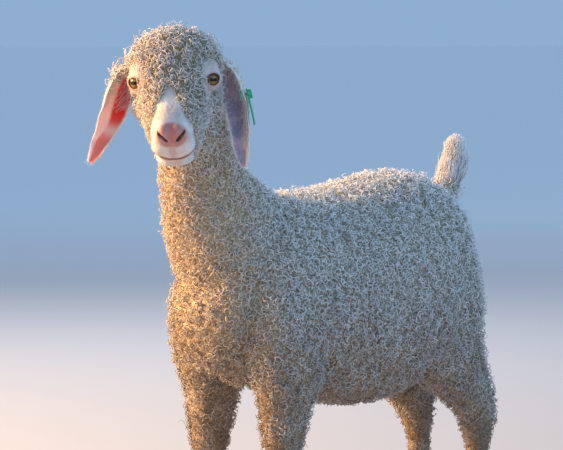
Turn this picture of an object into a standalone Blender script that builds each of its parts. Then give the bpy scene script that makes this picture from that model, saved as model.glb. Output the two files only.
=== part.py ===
"""A young Angora goat, life size, standing with its head turned to its left.

Metres, +Z up. The goat stands on Z = 0 and its body faces -Y, so its left side is at +X.
Each sub-part is one named mesh object. The coat is a core with rounded clumps of curls on it.
"""

import math
import random

import bmesh
import bpy
import numpy as np
from mathutils import Matrix, Vector

SEED = 7
COLLECTION = "angora_goat"
# How far the body stands from the middle of the floor that it covers, along X and Y
PLACE = Vector((0.0, 0.061, 0.0))
# The gap that neighbouring parts keep
GAP = 0.0003
REACH_DOME = 0.030
EAR_SEAT = 0.0006

# Coat depth from the skin to the tips of the curls, and the share of it that is solid core
COAT = {"torso": 0.026, "neck": 0.021, "leg": 0.015, "shank": 0.005, "tail": 0.008, "head": 0.012}
CORE_SHARE = 0.42

# Torso stations from brisket to rump: Y, back, height of the widest place, belly and half width
TORSO = (
    (-0.188, 0.408, 0.350, 0.292, 0.058),
    (-0.164, 0.436, 0.351, 0.276, 0.080),
    (-0.132, 0.462, 0.350, 0.264, 0.094),
    (-0.090, 0.482, 0.345, 0.255, 0.101),
    (-0.030, 0.484, 0.340, 0.238, 0.108),
    (0.030, 0.495, 0.336, 0.231, 0.114),
    (0.090, 0.506, 0.342, 0.245, 0.112),
    (0.140, 0.502, 0.362, 0.280, 0.098),
    (0.172, 0.484, 0.382, 0.318, 0.076),
)
BRISKET_BULGE = 0.034
RUMP_BULGE = 0.026

# Neck stations from inside the shoulders up into the head: middle, half width and half depth
NECK = (
    ((0.000, -0.125, 0.380), 0.072, 0.085),
    ((0.000, -0.160, 0.446), 0.056, 0.080),
    ((0.004, -0.178, 0.486), 0.043, 0.073),
    ((0.008, -0.200, 0.512), 0.036, 0.058),
    ((0.012, -0.221, 0.538), 0.033, 0.042),
    ((0.017, -0.236, 0.572), 0.032, 0.037),
    ((0.022, -0.247, 0.602), 0.030, 0.034),
    ((0.028, -0.258, 0.628), 0.022, 0.024),
)

# Stations of the left legs down to the hoof: middle, half width across, half depth fore and aft
FORELEG = (
    ((0.056, -0.105, 0.390), 0.036, 0.058),
    ((0.070, -0.128, 0.325), 0.036, 0.054),
    ((0.071, -0.128, 0.270), 0.029, 0.040),
    ((0.068, -0.129, 0.225), 0.0215, 0.0265),
    ((0.066, -0.130, 0.165), 0.0180, 0.0195),
    ((0.065, -0.127, 0.115), 0.0118, 0.0135),
    ((0.065, -0.127, 0.068), 0.0145, 0.0155),
    ((0.065, -0.136, 0.048), 0.0128, 0.0130),
    ((0.065, -0.145, 0.028), 0.0155, 0.0165),
    ((0.065, -0.150, 0.014), 0.0150, 0.0160),
)
HINDLEG = (
    ((0.048, 0.115, 0.420), 0.050, 0.070),
    ((0.066, 0.124, 0.350), 0.044, 0.068),
    ((0.074, 0.138, 0.290), 0.034, 0.052),
    ((0.070, 0.180, 0.238), 0.0220, 0.0290),
    ((0.065, 0.205, 0.203), 0.0185, 0.0220),
    ((0.063, 0.211, 0.150), 0.0122, 0.0145),
    ((0.062, 0.211, 0.110), 0.0120, 0.0140),
    ((0.062, 0.210, 0.070), 0.0148, 0.0160),
    ((0.062, 0.201, 0.050), 0.0130, 0.0132),
    ((0.062, 0.192, 0.028), 0.0155, 0.0168),
    ((0.062, 0.187, 0.014), 0.0150, 0.0160),
)
# How far the right feet stand from the mirror image of the left ones
FORELEG_STEP = Vector((0.000, -0.018, 0.0))
HINDLEG_STEP = Vector((0.000, 0.006, 0.0))
# Between these heights the leg's coat is short
SHANK_TOP = 0.150
SHANK_FOOT = 0.045
KNEE_HEIGHT = 0.165
HOCK_HEIGHT = 0.198

# What each left leg's node takes from the body: rings of middle, half width and half depth
FORELEG_REACH = (
    ((0.100, -0.128, 0.365), 0.058, 0.066),
    ((0.098, -0.128, 0.300), 0.062, 0.070),
    ((0.092, -0.128, 0.258), 0.064, 0.070),
    ((0.084, -0.132, 0.225), 0.076, 0.068),
    ((0.070, -0.140, 0.120), 0.062, 0.072),
    ((0.070, -0.140, -0.010), 0.062, 0.072),
)
HINDLEG_REACH = (
    ((0.104, 0.170, 0.415), 0.068, 0.098),
    ((0.098, 0.172, 0.345), 0.074, 0.102),
    ((0.090, 0.172, 0.290), 0.080, 0.102),
    ((0.084, 0.178, 0.245), 0.079, 0.092),
    ((0.074, 0.190, 0.150), 0.068, 0.080),
    ((0.070, 0.190, -0.010), 0.066, 0.080),
)

TAIL_REACH = (
    ((0.0, 0.2035, 0.4895), 0.030, 0.032),
    ((0.0, 0.2120, 0.5200), 0.032, 0.034),
    ((0.0, 0.2170, 0.6100), 0.034, 0.036),
)
# The plane that parts the neck from the torso, from the withers down to the breast
NECK_CUT_PLACE = Vector((0.0, -0.058, 0.506))
NECK_CUT_NORMAL = Vector((0.0, -0.467, 0.884))
# The plane that parts the head from the neck: how far behind and below the eyes, and how far it looks up
HEAD_CUT_BEHIND = 0.030
HEAD_CUT_BELOW = 0.0625
HEAD_CUT_RISE = math.radians(47)

# The tail stands up: middle, half width and half depth
TAIL = (
    ((0.0, 0.160, 0.455), 0.020, 0.018),
    ((0.0, 0.192, 0.478), 0.017, 0.015),
    ((0.0, 0.213, 0.500), 0.0130, 0.0120),
    ((0.0, 0.223, 0.525), 0.0110, 0.0095),
    ((0.0, 0.227, 0.545), 0.0080, 0.0070),
    ((0.0, 0.226, 0.560), 0.0040, 0.0040),
)

# The head's frame has its origin midway between the eyes and faces -Y before it is turned
EYES_MIDDLE = Vector((0.0579, -0.2967, 0.6455))
HEAD_TURN = math.radians(47.3)
NOSE_DOWN = math.radians(38)
HEAD_TILT = math.radians(-2.6)

# Head stations from the nape to the lips: ahead of the eyes, top, widest height, underside and half width
HEAD = (
    (-0.056, 0.018, -0.004, -0.030, 0.030),
    (-0.046, 0.029, 0.000, -0.048, 0.041),
    (-0.030, 0.035, 0.002, -0.058, 0.047),
    (-0.010, 0.035, 0.000, -0.064, 0.050),
    (0.010, 0.031, -0.004, -0.065, 0.0425),
    (0.028, 0.025, -0.012, -0.064, 0.0360),
    (0.046, 0.020, -0.018, -0.062, 0.0315),
    (0.064, 0.016, -0.024, -0.060, 0.0285),
    (0.080, 0.011, -0.026, -0.059, 0.0270),
    (0.090, 0.004, -0.026, -0.054, 0.0240),
)
NAPE_BULGE = 0.012
LIPS_BULGE = 0.0085
# Swellings of the head, each one mirrored: place across, ahead and up, then its three radii
HEAD_SWELLINGS = (
    ((0.0350, -0.011, 0.009), (0.0205, 0.0240, 0.0185)),
    ((0.0300, -0.014, -0.040), (0.0210, 0.0320, 0.0230)),
    ((0.0130, 0.083, -0.032), (0.0150, 0.0150, 0.0120)),
    ((0.0100, 0.087, -0.006), (0.0110, 0.0125, 0.0140)),
    ((0.0145, 0.088, -0.009), (0.0065, 0.0095, 0.0080)),
    ((0.0070, 0.073, -0.0540), (0.0180, 0.0215, 0.0085)),
)
# The thick curls of the poll and forehead stand on a core of their own
CROWN = ((0.0, -0.026, 0.012), (0.052, 0.046, 0.030))
EYE_RADIUS = 0.0125
EYE = Vector((0.0430, 0.000, 0.0030))
# Where the goat's left eye looks, with the head level: out to the side, ahead and a little down
EYE_LOOK = Vector((0.55, -0.82, -0.15)).normalized()
# The lids: how far they stand off the eyeball, and the opening's half length, depth and half height
LID_THICKNESS = 0.0026
LID_OPENING = (0.0088, 0.0088, 0.0076)
# The comma of a nostril as balls joined in a row: across, ahead, up and radius
NOSTRIL = (
    (0.0060, 0.0975, -0.0190, 0.0020),
    (0.0085, 0.0978, -0.0145, 0.0034),
    (0.0130, 0.0978, -0.0100, 0.0042),
    (0.0175, 0.0945, -0.0065, 0.0030),
)
# The mouth as a line round the muzzle: across, ahead and up
MOUTH = (
    (0.0, 0.0965, -0.0430),
    (0.0120, 0.0952, -0.0440),
    (0.0205, 0.0885, -0.0455),
    (0.0245, 0.0770, -0.0470),
    (0.0260, 0.0620, -0.0460),
)
# How wide the mouth line gapes to each side at the lips, and how deep it goes
MOUTH_GROOVE = 0.0019
MOUTH_DEPTH = 0.0060
# How far ahead of the eyes the back of the mouth lies, which the line is cut toward
MOUTH_BACK = 0.052

# The ears' own level frame, which faces -Y before it is turned
EARS_MIDDLE = Vector((0.056, -0.299, 0.6455))
EARS_TURN = math.radians(49)
# Ear stations from root to tip in that frame:
# the middle of the back of the trough, its radius, how far round it curls, its thickness, where it faces
EAR_RIGHT = (
    ((-0.038, 0.034, 0.016), 0.010, 150, 0.0080, 20),
    ((-0.052, 0.040, 0.014), 0.013, 210, 0.0050, 25),
    ((-0.068, 0.044, 0.001), 0.016, 190, 0.0034, 30),
    ((-0.077, 0.045, -0.022), 0.018, 165, 0.0028, 32),
    ((-0.083, 0.042, -0.046), 0.017, 145, 0.0026, 26),
    ((-0.089, 0.036, -0.068), 0.013, 125, 0.0026, 6),
    ((-0.096, 0.028, -0.086), 0.012, 105, 0.0024, -12),
    ((-0.104, 0.022, -0.101), 0.0075, 70, 0.0018, -16),
)
EAR_LEFT = (
    ((0.038, 0.034, 0.018), 0.010, 150, 0.0080, -20),
    ((0.053, 0.040, 0.017), 0.013, 210, 0.0050, -25),
    ((0.071, 0.045, 0.006), 0.016, 190, 0.0034, -32),
    ((0.081, 0.048, -0.018), 0.018, 160, 0.0028, -34),
    ((0.085, 0.046, -0.042), 0.018, 140, 0.0026, -34),
    ((0.087, 0.038, -0.066), 0.0165, 125, 0.0026, -32),
    ((0.088, 0.031, -0.088), 0.0140, 105, 0.0024, -30),
    ((0.089, 0.026, -0.106), 0.0085, 70, 0.0018, -28),
)

# Hooves: two claws a foot, each with a flat sole
HOOF_HEIGHT = 0.033
CLAW_SPREAD = 0.0086
CLAW = (
    (0.000, 0.0000, 0.0078, 0.0215),
    (0.004, 0.0003, 0.0081, 0.0218),
    (0.020, 0.0030, 0.0078, 0.0185),
    (0.033, 0.0062, 0.0072, 0.0145),
)
FORE_HOOF = Vector((0.065, -0.157, 0.0))
HIND_HOOF = Vector((0.062, 0.180, 0.0))
# The two small claws behind each foot: across, behind the leg's middle there and up, then their radii
DEWCLAW = ((0.0085, 0.0150, 0.0540), (0.0042, 0.0050, 0.0070))

# The tag in the left ear: at which ear station and how far round its back the pin goes through
TAG_STATION = 3
TAG_ROUND = 0.72
TAG_STAND = 0.0013
TAG_BOSS = (0.0062, 0.0056)
TAG_STUD = (0.0065, 0.0022)
TAG_PIN = (0.0016, 0.0022)
# The flag's thickness, and its outline from top to bottom: distance below the pin and half width
TAG_FLAG_THICK = 0.0014
TAG_FLAG = (
    (-0.0070, 0.0045),
    (0.0000, 0.0068),
    (0.0080, 0.0068),
    (0.0130, 0.0105),
    (0.0370, 0.0105),
    (0.0385, 0.0090),
)
TAG_LEAN = math.radians(13)

# Clumps of curls: spacing by region, and how wide a clump is for its spacing
CLUMP_SPACING = {"torso": 0.046, "neck": 0.042, "leg": 0.038, "shank": 0.030, "tail": 0.026, "head": 0.025}
CLUMP_WIDTH = 0.60
# No clumps grow this far ahead of the eyes, this much less on the cheeks, nor this near an eye or an ear's
# root, nor below this height on a leg
BARE_AHEAD = 0.052
BARE_CHEEK = 0.020
BARE_EYE = 0.027
BARE_EAR = 0.022
BARE_FOOT = 0.085
CLUMP_ROUGHNESS = 0.08
CLUMP_SEGMENTS = 8
CLUMP_RINGS = 5
BODY_TRIANGLES = 6900
HEAD_TRIANGLES = 2500
EAR_TRIANGLES = 360

# Colours, each with how rough the surface is
FLEECE = ((0.82, 0.76, 0.66), 0.95)
FACE = ((0.86, 0.78, 0.74), 0.80)
EAR_PINK = ((0.80, 0.52, 0.48), 0.75)
EYE_AMBER = ((0.42, 0.20, 0.04), 0.08)
HORN = ((0.24, 0.18, 0.13), 0.50)
TAG_GREEN = ((0.04, 0.36, 0.20), 0.45)


def head_matrix():
    """From the head's own frame to the goat's."""
    turn = Matrix.Rotation(HEAD_TURN, 4, "Z")
    tilt = Matrix.Rotation(HEAD_TILT, 4, "Y")
    pitch = Matrix.Rotation(NOSE_DOWN, 4, "X")
    return Matrix.Translation(EYES_MIDDLE) @ turn @ tilt @ pitch


def smooth_rows(rows, steps):
    """Rows of numbers with steps more rows on a smooth curve between each two."""
    table = np.array(rows, float)
    padded = np.vstack([2 * table[0] - table[1], table, 2 * table[-1] - table[-2]])
    out = []
    for i in range(1, len(padded) - 2):
        a, b, c, d = padded[i - 1 : i + 3]
        for step in range(steps):
            t = step / steps
            bend = (2 * a - 5 * b + 4 * c - d) * t * t + (3 * b - a - 3 * c + d) * t * t * t
            out.append(0.5 * (2 * b + (c - a) * t + bend))
    out.append(padded[-2])
    return np.array(out)


def new_object(name, points, faces):
    """A mesh object from points and faces, with its faces turned out."""
    mesh = bpy.data.meshes.new(name)
    mesh.from_pydata([tuple(p) for p in points], [], faces)
    build = bmesh.new()
    build.from_mesh(mesh)
    bmesh.ops.recalc_face_normals(build, faces=build.faces)
    build.to_mesh(mesh)
    build.free()
    obj = bpy.data.objects.new(name, mesh)
    bpy.context.scene.collection.objects.link(obj)
    return obj


def loft(name, rings):
    """A closed body of triangles through rings of equally many points, with a flat cap on each end."""
    count = len(rings[0])
    points = [p for ring in rings for p in ring]
    faces = []
    for i in range(len(rings) - 1):
        for j in range(count):
            k = (j + 1) % count
            a, b = i * count, (i + 1) * count
            faces += [(a + j, a + k, b + k), (a + j, b + k, b + j)]
    last = (len(rings) - 1) * count
    faces.append(tuple(range(count))[::-1])
    faces.append(tuple(last + j for j in range(count)))
    return new_object(name, points, faces)


def oval(side, up, half_width, rise, fall, count, squareness=2.2):
    """Offsets round an oval a little squarer than an ellipse, its halves each of their own height."""
    ring = []
    for j in range(count):
        angle = 2 * math.pi * j / count
        c, s = math.cos(angle), math.sin(angle)
        x = math.copysign(abs(c) ** (2 / squareness), c) * half_width
        z = math.copysign(abs(s) ** (2 / squareness), s) * (rise if s > 0 else fall)
        ring.append(side * x + up * z)
    return ring


def domed(rings, start, end):
    """The rings with two smaller ones past each end, so that a body closes in a dome as deep as stated."""
    out = list(rings)
    for depth, at_start in ((start, True), (end, False)):
        if depth == 0:
            continue
        last, inner = (out[0], out[1]) if at_start else (out[-1], out[-2])
        middle = sum(last, Vector()) / len(last)
        way = (middle - sum(inner, Vector()) / len(inner)).normalized()
        for part in (0.55, 0.9):
            size = math.sqrt(1 - part * part)
            ring = [middle + (p - middle) * size + way * depth * part for p in last]
            if at_start:
                out.insert(0, ring)
            else:
                out.append(ring)
    return out


def trunk_rings(rows, grow, count, start, end, steps=2, squareness=2.2):
    """Upright rings along Y with domed ends. A row is Y, top, widest height, underside, half width."""
    rings = []
    for y, top, wide, bottom, half in smooth_rows(rows, steps):
        middle = Vector((0, y, wide))
        side, up = Vector((1, 0, 0)), Vector((0, 0, 1))
        rise, fall = top - wide + grow, wide - bottom + grow
        ring = oval(side, up, half + grow, rise, fall, count, squareness)
        rings.append([middle + p for p in ring])
    return domed(rings, start + grow, end + grow)


def limb_rings(rows, grow, count, steps=2, level=False, squareness=2.1):
    """Rings along a limb, square to its line or level. Each row gives middle, half width and half depth.

    grow is the coat's depth, or a function that gives it for a height.
    """
    table = smooth_rows([(*middle, half, deep) for middle, half, deep in rows], steps)
    rings = []
    for i, row in enumerate(table):
        before, after = table[max(i - 1, 0)], table[min(i + 1, len(table) - 1)]
        axis = Vector((0, 0, -1)) if level else Vector(after[:3] - before[:3]).normalized()
        deep = axis.cross(Vector((1, 0, 0))).normalized()
        across = deep.cross(axis).normalized()
        more = grow(row[2]) if callable(grow) else grow
        ring = oval(across, deep, row[3] + more, row[4] + more, row[4] + more, count, squareness)
        rings.append([Vector(row[:3]) + p for p in ring])
    return rings


def for_side(rows, side, step):
    """A left leg's rows, or the right leg's with its foot moved by step and its top kept in place."""
    if side == "left":
        return rows
    top = rows[0][0][2]
    out = []
    for (x, y, z), half, deep in rows:
        share = min(1.0, max(0.0, (top - z) / (top - 0.15)))
        out.append(((-x + step.x * share, y + step.y * share, z), half, deep))
    return tuple(out)


def moved(obj, matrix):
    """Moves a mesh by a matrix, and keeps its faces turned out when the matrix mirrors it."""
    obj.data.transform(matrix)
    if matrix.determinant() < 0:
        obj.data.flip_normals()
    return obj


def ellipsoid(name, place, radii, segments=16, rings=10):
    bpy.ops.mesh.primitive_uv_sphere_add(segments=segments, ring_count=rings, radius=1)
    obj = bpy.context.object
    obj.name = name
    obj.data.transform(Matrix.Translation(place) @ Matrix.Diagonal((*radii, 1)))
    return obj


def leg_core(height):
    """The core's depth on a leg by height: thick on the upper leg, thin below the knee, none at the hoof."""
    upper = min(1.0, max(0.0, (height - SHANK_TOP) / 0.06))
    lower = min(1.0, max(0.0, (height - SHANK_FOOT) / 0.05))
    return CORE_SHARE * (COAT["shank"] * lower + (COAT["leg"] - COAT["shank"]) * upper)


def neck_form():
    return loft("neck_form", limb_rings(NECK, COAT["neck"] * CORE_SHARE, 20, level=True))


def apply_modifiers(obj):
    """Replaces the object's mesh by what its modifiers make of it."""
    graph = bpy.context.evaluated_depsgraph_get()
    mesh = bpy.data.meshes.new_from_object(obj.evaluated_get(graph))
    obj.modifiers.clear()
    obj.data = mesh
    return obj


def evened(obj, voxel, smoothing):
    """The same shape from small even faces, with its creases softened."""
    remesh = obj.modifiers.new("even", "REMESH")
    remesh.mode = "VOXEL"
    remesh.voxel_size = voxel
    soften = obj.modifiers.new("soften", "SMOOTH")
    soften.factor = 0.5
    soften.iterations = smoothing
    return apply_modifiers(obj)


def fused(name, pieces, voxel, smoothing):
    """One closed body from overlapping closed ones, with their joins softened."""
    whole = bmesh.new()
    for piece in pieces:
        whole.from_mesh(piece.data)
        bpy.data.objects.remove(piece)
    mesh = bpy.data.meshes.new(name)
    whole.to_mesh(mesh)
    whole.free()
    obj = bpy.data.objects.new(name, mesh)
    bpy.context.scene.collection.objects.link(obj)
    return evened(obj, voxel, smoothing)


def body_forms():
    """The flesh with the core of its coat, as closed lofts that overlap."""
    torso = trunk_rings(TORSO, COAT["torso"] * CORE_SHARE, 24, BRISKET_BULGE, RUMP_BULGE)
    tail = limb_rings(TAIL, COAT["tail"] * CORE_SHARE, 12)
    forms = [loft("torso_form", torso), neck_form(), loft("tail_form", tail)]
    for side in ("left", "right"):
        fore = for_side(FORELEG, side, FORELEG_STEP)
        hind = for_side(HINDLEG, side, HINDLEG_STEP)
        forms.append(loft("foreleg_form", limb_rings(fore, leg_core, 16)))
        forms.append(loft("hindleg_form", limb_rings(hind, leg_core, 16)))
    return forms


def head_forms():
    """The head without its ears: a loft with the swellings of orbits, cheeks, lips, nose and chin."""
    rows = [(-ahead, *rest) for ahead, *rest in HEAD]
    forms = [loft("head_form", trunk_rings(rows, 0.0, 28, NAPE_BULGE, LIPS_BULGE, squareness=2.35))]
    for (x, ahead, up), radii in HEAD_SWELLINGS:
        for mirror in (1, -1):
            forms.append(ellipsoid("swelling", Vector((x * mirror, -ahead, up)), radii))
    (x, ahead, up), radii = CROWN
    forms.append(ellipsoid("crown", Vector((x, -ahead, up)), radii))
    for form in forms:
        form.data.transform(head_matrix())
    return forms


def level_matrix():
    """From the level frame of the ears to the goat's."""
    return Matrix.Translation(EARS_MIDDLE) @ Matrix.Rotation(EARS_TURN, 4, "Z")


def thinned(obj, triangles):
    """The same shape from about as many triangles as stated, and only triangles."""
    obj.data.calc_loop_triangles()
    ratio = triangles / len(obj.data.loop_triangles)
    if ratio < 1:
        thin = obj.modifiers.new("thin", "DECIMATE")
        thin.ratio = ratio
        apply_modifiers(obj)
    return obj


def keep_largest(obj):
    """Leaves only the largest closed surface of a mesh."""
    build = bmesh.new()
    build.from_mesh(obj.data)
    build.verts.ensure_lookup_table()
    left = set(build.verts)
    best, best_size = None, -1.0
    while left:
        seed = left.pop()
        group, edge = {seed}, [seed]
        while edge:
            for link in edge.pop().link_edges:
                for vert in link.verts:
                    if vert not in group:
                        group.add(vert)
                        edge.append(vert)
        left -= group
        lows = [min(v.co[i] for v in group) for i in range(3)]
        highs = [max(v.co[i] for v in group) for i in range(3)]
        size = math.dist(lows, highs)
        if size > best_size:
            best, best_size = group, size
    bmesh.ops.delete(build, geom=[v for v in build.verts if v not in best], context="VERTS")
    build.to_mesh(obj.data)
    build.free()
    return obj


def boolean(obj, others, operation, solver="MANIFOLD"):
    """Joins, cuts or intersects a mesh with others, which are then removed."""
    cutters = bpy.data.collections.new("cutters")
    bpy.context.scene.collection.children.link(cutters)
    for other in others:
        for old in list(other.users_collection):
            old.objects.unlink(other)
        cutters.objects.link(other)
        other.hide_render = True
        other.display_type = "WIRE"
    step = obj.modifiers.new(operation.lower(), "BOOLEAN")
    step.operation = operation
    step.operand_type = "COLLECTION"
    step.collection = cutters
    step.solver = solver
    apply_modifiers(obj)
    for other in others:
        bpy.data.objects.remove(other)
    bpy.data.collections.remove(cutters)
    return obj


def copy_of(obj, name):
    twin = obj.copy()
    twin.data = obj.data.copy()
    twin.name = name
    bpy.context.scene.collection.objects.link(twin)
    return twin


def half_space(place, normal, size=1.6):
    """A great box that fills the side of a plane to which the normal points."""
    bpy.ops.mesh.primitive_cube_add(size=size)
    box = bpy.context.object
    box.data.transform(Matrix.Translation((0, 0, size / 2)))
    turn = Vector(normal).to_track_quat("Z", "Y").to_matrix().to_4x4()
    box.data.transform(Matrix.Translation(place) @ turn)
    return box


def split_by_plane(obj, name, place, normal):
    """Takes the side that the normal points to as a new object, with the gap between the two."""
    normal = Vector(normal).normalized()
    piece = copy_of(obj, name)
    boolean(piece, [half_space(Vector(place) + normal * GAP, normal)], "INTERSECT")
    boolean(obj, [half_space(Vector(place), normal)], "DIFFERENCE")
    return keep_largest(piece)


def split_by_reach(obj, name, rows, level=True):
    """Takes what lies inside a reach, a loft through rows, as a new object, with the gap all round."""
    piece = copy_of(obj, name)
    tight = [(middle, half - GAP, deep - GAP) for middle, half, deep in rows]
    onward = (Vector(rows[1][0]) - Vector(rows[0][0])).normalized()
    tight[0] = (Vector(rows[0][0]) + onward * GAP, *tight[0][1:])
    inside = loft("reach", domed(limb_rings(tight, 0.0, 24, 1, level, 2.5), REACH_DOME, 0.0))
    outside = loft("reach", domed(limb_rings(rows, 0.0, 24, 1, level, 2.5), REACH_DOME, 0.0))
    boolean(piece, [inside], "INTERSECT")
    boolean(obj, [outside], "DIFFERENCE")
    return keep_largest(piece)


def eye_frame(mirror):
    """The eye's own frame in the head's: X along the slit, level with the ground, Y out along the look, Z up."""
    look = Matrix.Rotation(-NOSE_DOWN, 3, "X") @ Vector((EYE_LOOK.x * mirror, EYE_LOOK.y, EYE_LOOK.z))
    up = head_matrix().to_3x3().transposed() @ Vector((0, 0, 1))
    along = look.cross(up).normalized() * mirror
    rise = along.cross(look).normalized() * mirror
    turn = Matrix((along, look, rise)).transposed().to_4x4()
    place = Vector((EYE.x * mirror, EYE.y, EYE.z))
    return Matrix.Translation(place) @ turn


def chain(points, radius_of, segments=10):
    """A closed tube with round ends along points, as thick at each as radius_of says."""
    rings = []
    for i, point in enumerate(points):
        before, after = points[max(i - 1, 0)], points[min(i + 1, len(points) - 1)]
        axis = (after - before).normalized()
        side = axis.cross(Vector((0, 1, 0))).normalized()
        up = axis.cross(side)
        radius = radius_of(i)
        ring = []
        for j in range(segments):
            angle = 2 * math.pi * j / segments
            ring.append(point + (side * math.cos(angle) + up * math.sin(angle)) * radius)
        rings.append(ring)
    return loft("chain", domed(rings, radius_of(0), radius_of(len(points) - 1)))


def face_cutters():
    """What is taken out of the head: eye sockets, the openings of the lids, nostrils and the mouth line."""
    cutters = []
    for mirror in (1, -1):
        frame = eye_frame(mirror)
        socket = ellipsoid("socket", Vector(), [EYE_RADIUS * 1.06 + GAP] * 3, 12, 8)
        moved(socket, frame)
        opening = ellipsoid("opening", Vector((0, EYE_RADIUS, 0)), LID_OPENING, 14, 8)
        moved(opening, frame)
        cutters += [socket, opening]
        balls = [Vector((x * mirror, -ahead, up)) for x, ahead, up, radius in NOSTRIL]
        cutters.append(chain(balls, lambda i: NOSTRIL[i][3], 8))
    rows = [(-x, ahead, up) for x, ahead, up in MOUTH[:0:-1]] + list(MOUTH)
    line = [Vector(row) for row in smooth_rows(rows, 2)]
    rings = []
    for x, ahead, up in line:
        inward = Vector((-x, ahead - MOUTH_BACK, 0.0)).normalized()
        point = Vector((x, -ahead, up))
        lip = point - inward * MOUTH_DEPTH * 0.5
        edge = Vector((0, 0, MOUTH_GROOVE * 1.5))
        rings.append([point + inward * MOUTH_DEPTH, lip + edge, lip - edge])
    cutters.append(loft("mouth_line", rings))
    for cutter in cutters:
        cutter.data.transform(head_matrix())
    return cutters


def lid_forms():
    """The bulge of the lids over each eye."""
    forms = []
    for mirror in (1, -1):
        radius = EYE_RADIUS + LID_THICKNESS
        form = ellipsoid("lids", Vector((0, -0.0006, 0)), (radius * 1.08, radius, radius), 20, 12)
        moved(form, head_matrix() @ eye_frame(mirror))
        forms.append(form)
    return forms


def fattened(obj, distance):
    """Moves every point of a mesh out along its normal."""
    normals = [vert.normal.copy() for vert in obj.data.vertices]
    for vert, normal in zip(obj.data.vertices, normals):
        vert.co += normal * distance
    return obj


def ear_form(name, rows, steps=3, across=10):
    """An ear as a curved leaf with thickness: each station is a trough, nearly a tube near the root."""
    flat = []
    for middle, radius, curl, thick, face in rows:
        flat.append((*middle, radius, math.radians(curl), thick, math.radians(face)))
    table = smooth_rows(flat, steps)
    rings = []
    for i, row in enumerate(table):
        before, after = table[max(i - 1, 0)], table[min(i + 1, len(table) - 1)]
        along = Vector(after[:3] - before[:3]).normalized()
        radius, curl, thick, face = row[3:]
        facing = Matrix.Rotation(face, 3, "Z") @ Vector((0, -1, 0))
        facing = (facing - along * facing.dot(along)).normalized()
        side = along.cross(facing)
        middle = Vector(row[:3]) + facing * radius
        outer, inner = [], []
        for j in range(across):
            share = 2 * j / (across - 1) - 1
            out = side * math.sin(share * curl / 2) - facing * math.cos(share * curl / 2)
            depth = thick * (1 - 0.6 * share**4)
            outer.append(middle + out * (radius + depth * 0.5))
            inner.append(middle + out * max(radius - depth * 0.5, radius * 0.12))
        rings.append(outer + inner[::-1])
    ear = loft(name, rings)
    ear.data.transform(level_matrix())
    return ear


def head_cut():
    """A place and the normal of the plane between the head and the neck, from the throat up to the nape."""
    ahead = level_matrix().to_3x3() @ Vector((0, -1, 0))
    normal = (ahead * math.cos(HEAD_CUT_RISE) + Vector((0, 0, math.sin(HEAD_CUT_RISE)))).normalized()
    place = EYES_MIDDLE - ahead * HEAD_CUT_BEHIND
    place.z -= HEAD_CUT_BELOW
    return place, normal


def region_of(point):
    """Which part of the coat a point on the body belongs to."""
    place, normal = head_cut()
    if (point - place).dot(normal) > 0:
        return "head"
    if point.y > 0.19 and point.z > 0.495:
        return "tail"
    if point.z < 0.19:
        return "shank"
    if point.z < 0.27:
        return "leg" if abs(point.y - 0.02) > 0.09 or point.z < 0.22 else "torso"
    if (point - NECK_CUT_PLACE).dot(NECK_CUT_NORMAL) > 0:
        return "neck"
    return "torso"


def bare(point, region):
    """Whether no clump grows here: the face, the lids, the ears' roots, the feet."""
    if region == "shank":
        return point.z < BARE_FOOT
    if region != "head":
        return False
    place = head_matrix().inverted() @ point
    ahead = -place.y
    if ahead > BARE_AHEAD - BARE_CHEEK * (place.z < -0.03):
        return True
    for mirror in (1, -1):
        eye = Vector((EYE.x * mirror, EYE.y, EYE.z))
        if (place - eye).length < BARE_EYE:
            return True
        for rows in (EAR_LEFT, EAR_RIGHT):
            if (point - level_matrix() @ Vector(rows[1][0])).length < BARE_EAR:
                return True
    return False


def clump(place, normal, width, height, spin, draw):
    """One rounded clump of curls: a low dome with its lower half sunk in the core."""
    bpy.ops.mesh.primitive_uv_sphere_add(segments=CLUMP_SEGMENTS, ring_count=CLUMP_RINGS, radius=1)
    obj = bpy.context.object
    for vert in obj.data.vertices:
        vert.co *= 1 + draw.uniform(-CLUMP_ROUGHNESS, CLUMP_ROUGHNESS)
    turn = normal.to_track_quat("Z", "Y").to_matrix().to_4x4() @ Matrix.Rotation(spin, 4, "Z")
    obj.data.transform(Matrix.Translation(place) @ turn @ Matrix.Diagonal((width, width * 0.88, height, 1)))
    return obj


def brow_share(point, region):
    """How full a clump is: whole on the poll and the body, less and less down the forehead to the bridge."""
    if region != "head":
        return 1.0
    ahead = -(head_matrix().inverted() @ point).y
    return min(1.0, max(0.45, 1.0 - (ahead + 0.010) / 0.085))


def clumps_on(obj, keep):
    """Clumps spread evenly over a core, closer where the coat is shorter."""
    draw = random.Random(SEED)
    mesh = obj.data
    mesh.calc_loop_triangles()
    areas, corners = [], []
    for triangle in mesh.loop_triangles:
        areas.append(triangle.area)
        corners.append([mesh.vertices[i].co.copy() for i in triangle.vertices])
    roots, out = [], []
    for pick in draw.choices(range(len(areas)), weights=areas, k=20000):
        a, b, c = corners[pick]
        u, v = draw.random(), draw.random()
        if u + v > 1:
            u, v = 1 - u, 1 - v
        point = a + (b - a) * u + (c - a) * v
        region = region_of(point)
        if not keep(region) or bare(point, region):
            continue
        full = brow_share(point, region)
        spacing = CLUMP_SPACING[region] * full
        if any((point - other).length < (spacing + their) / 2 for other, their in roots):
            continue
        roots.append((point, spacing))
        normal = (b - a).cross(c - a).normalized()
        width = spacing * CLUMP_WIDTH * draw.uniform(0.95, 1.1)
        height = COAT[region] * (1 - CORE_SHARE) * draw.uniform(0.95, 1.1) * full
        out.append(clump(point, normal, width, height, draw.uniform(0, math.tau), draw))
    return out


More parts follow.
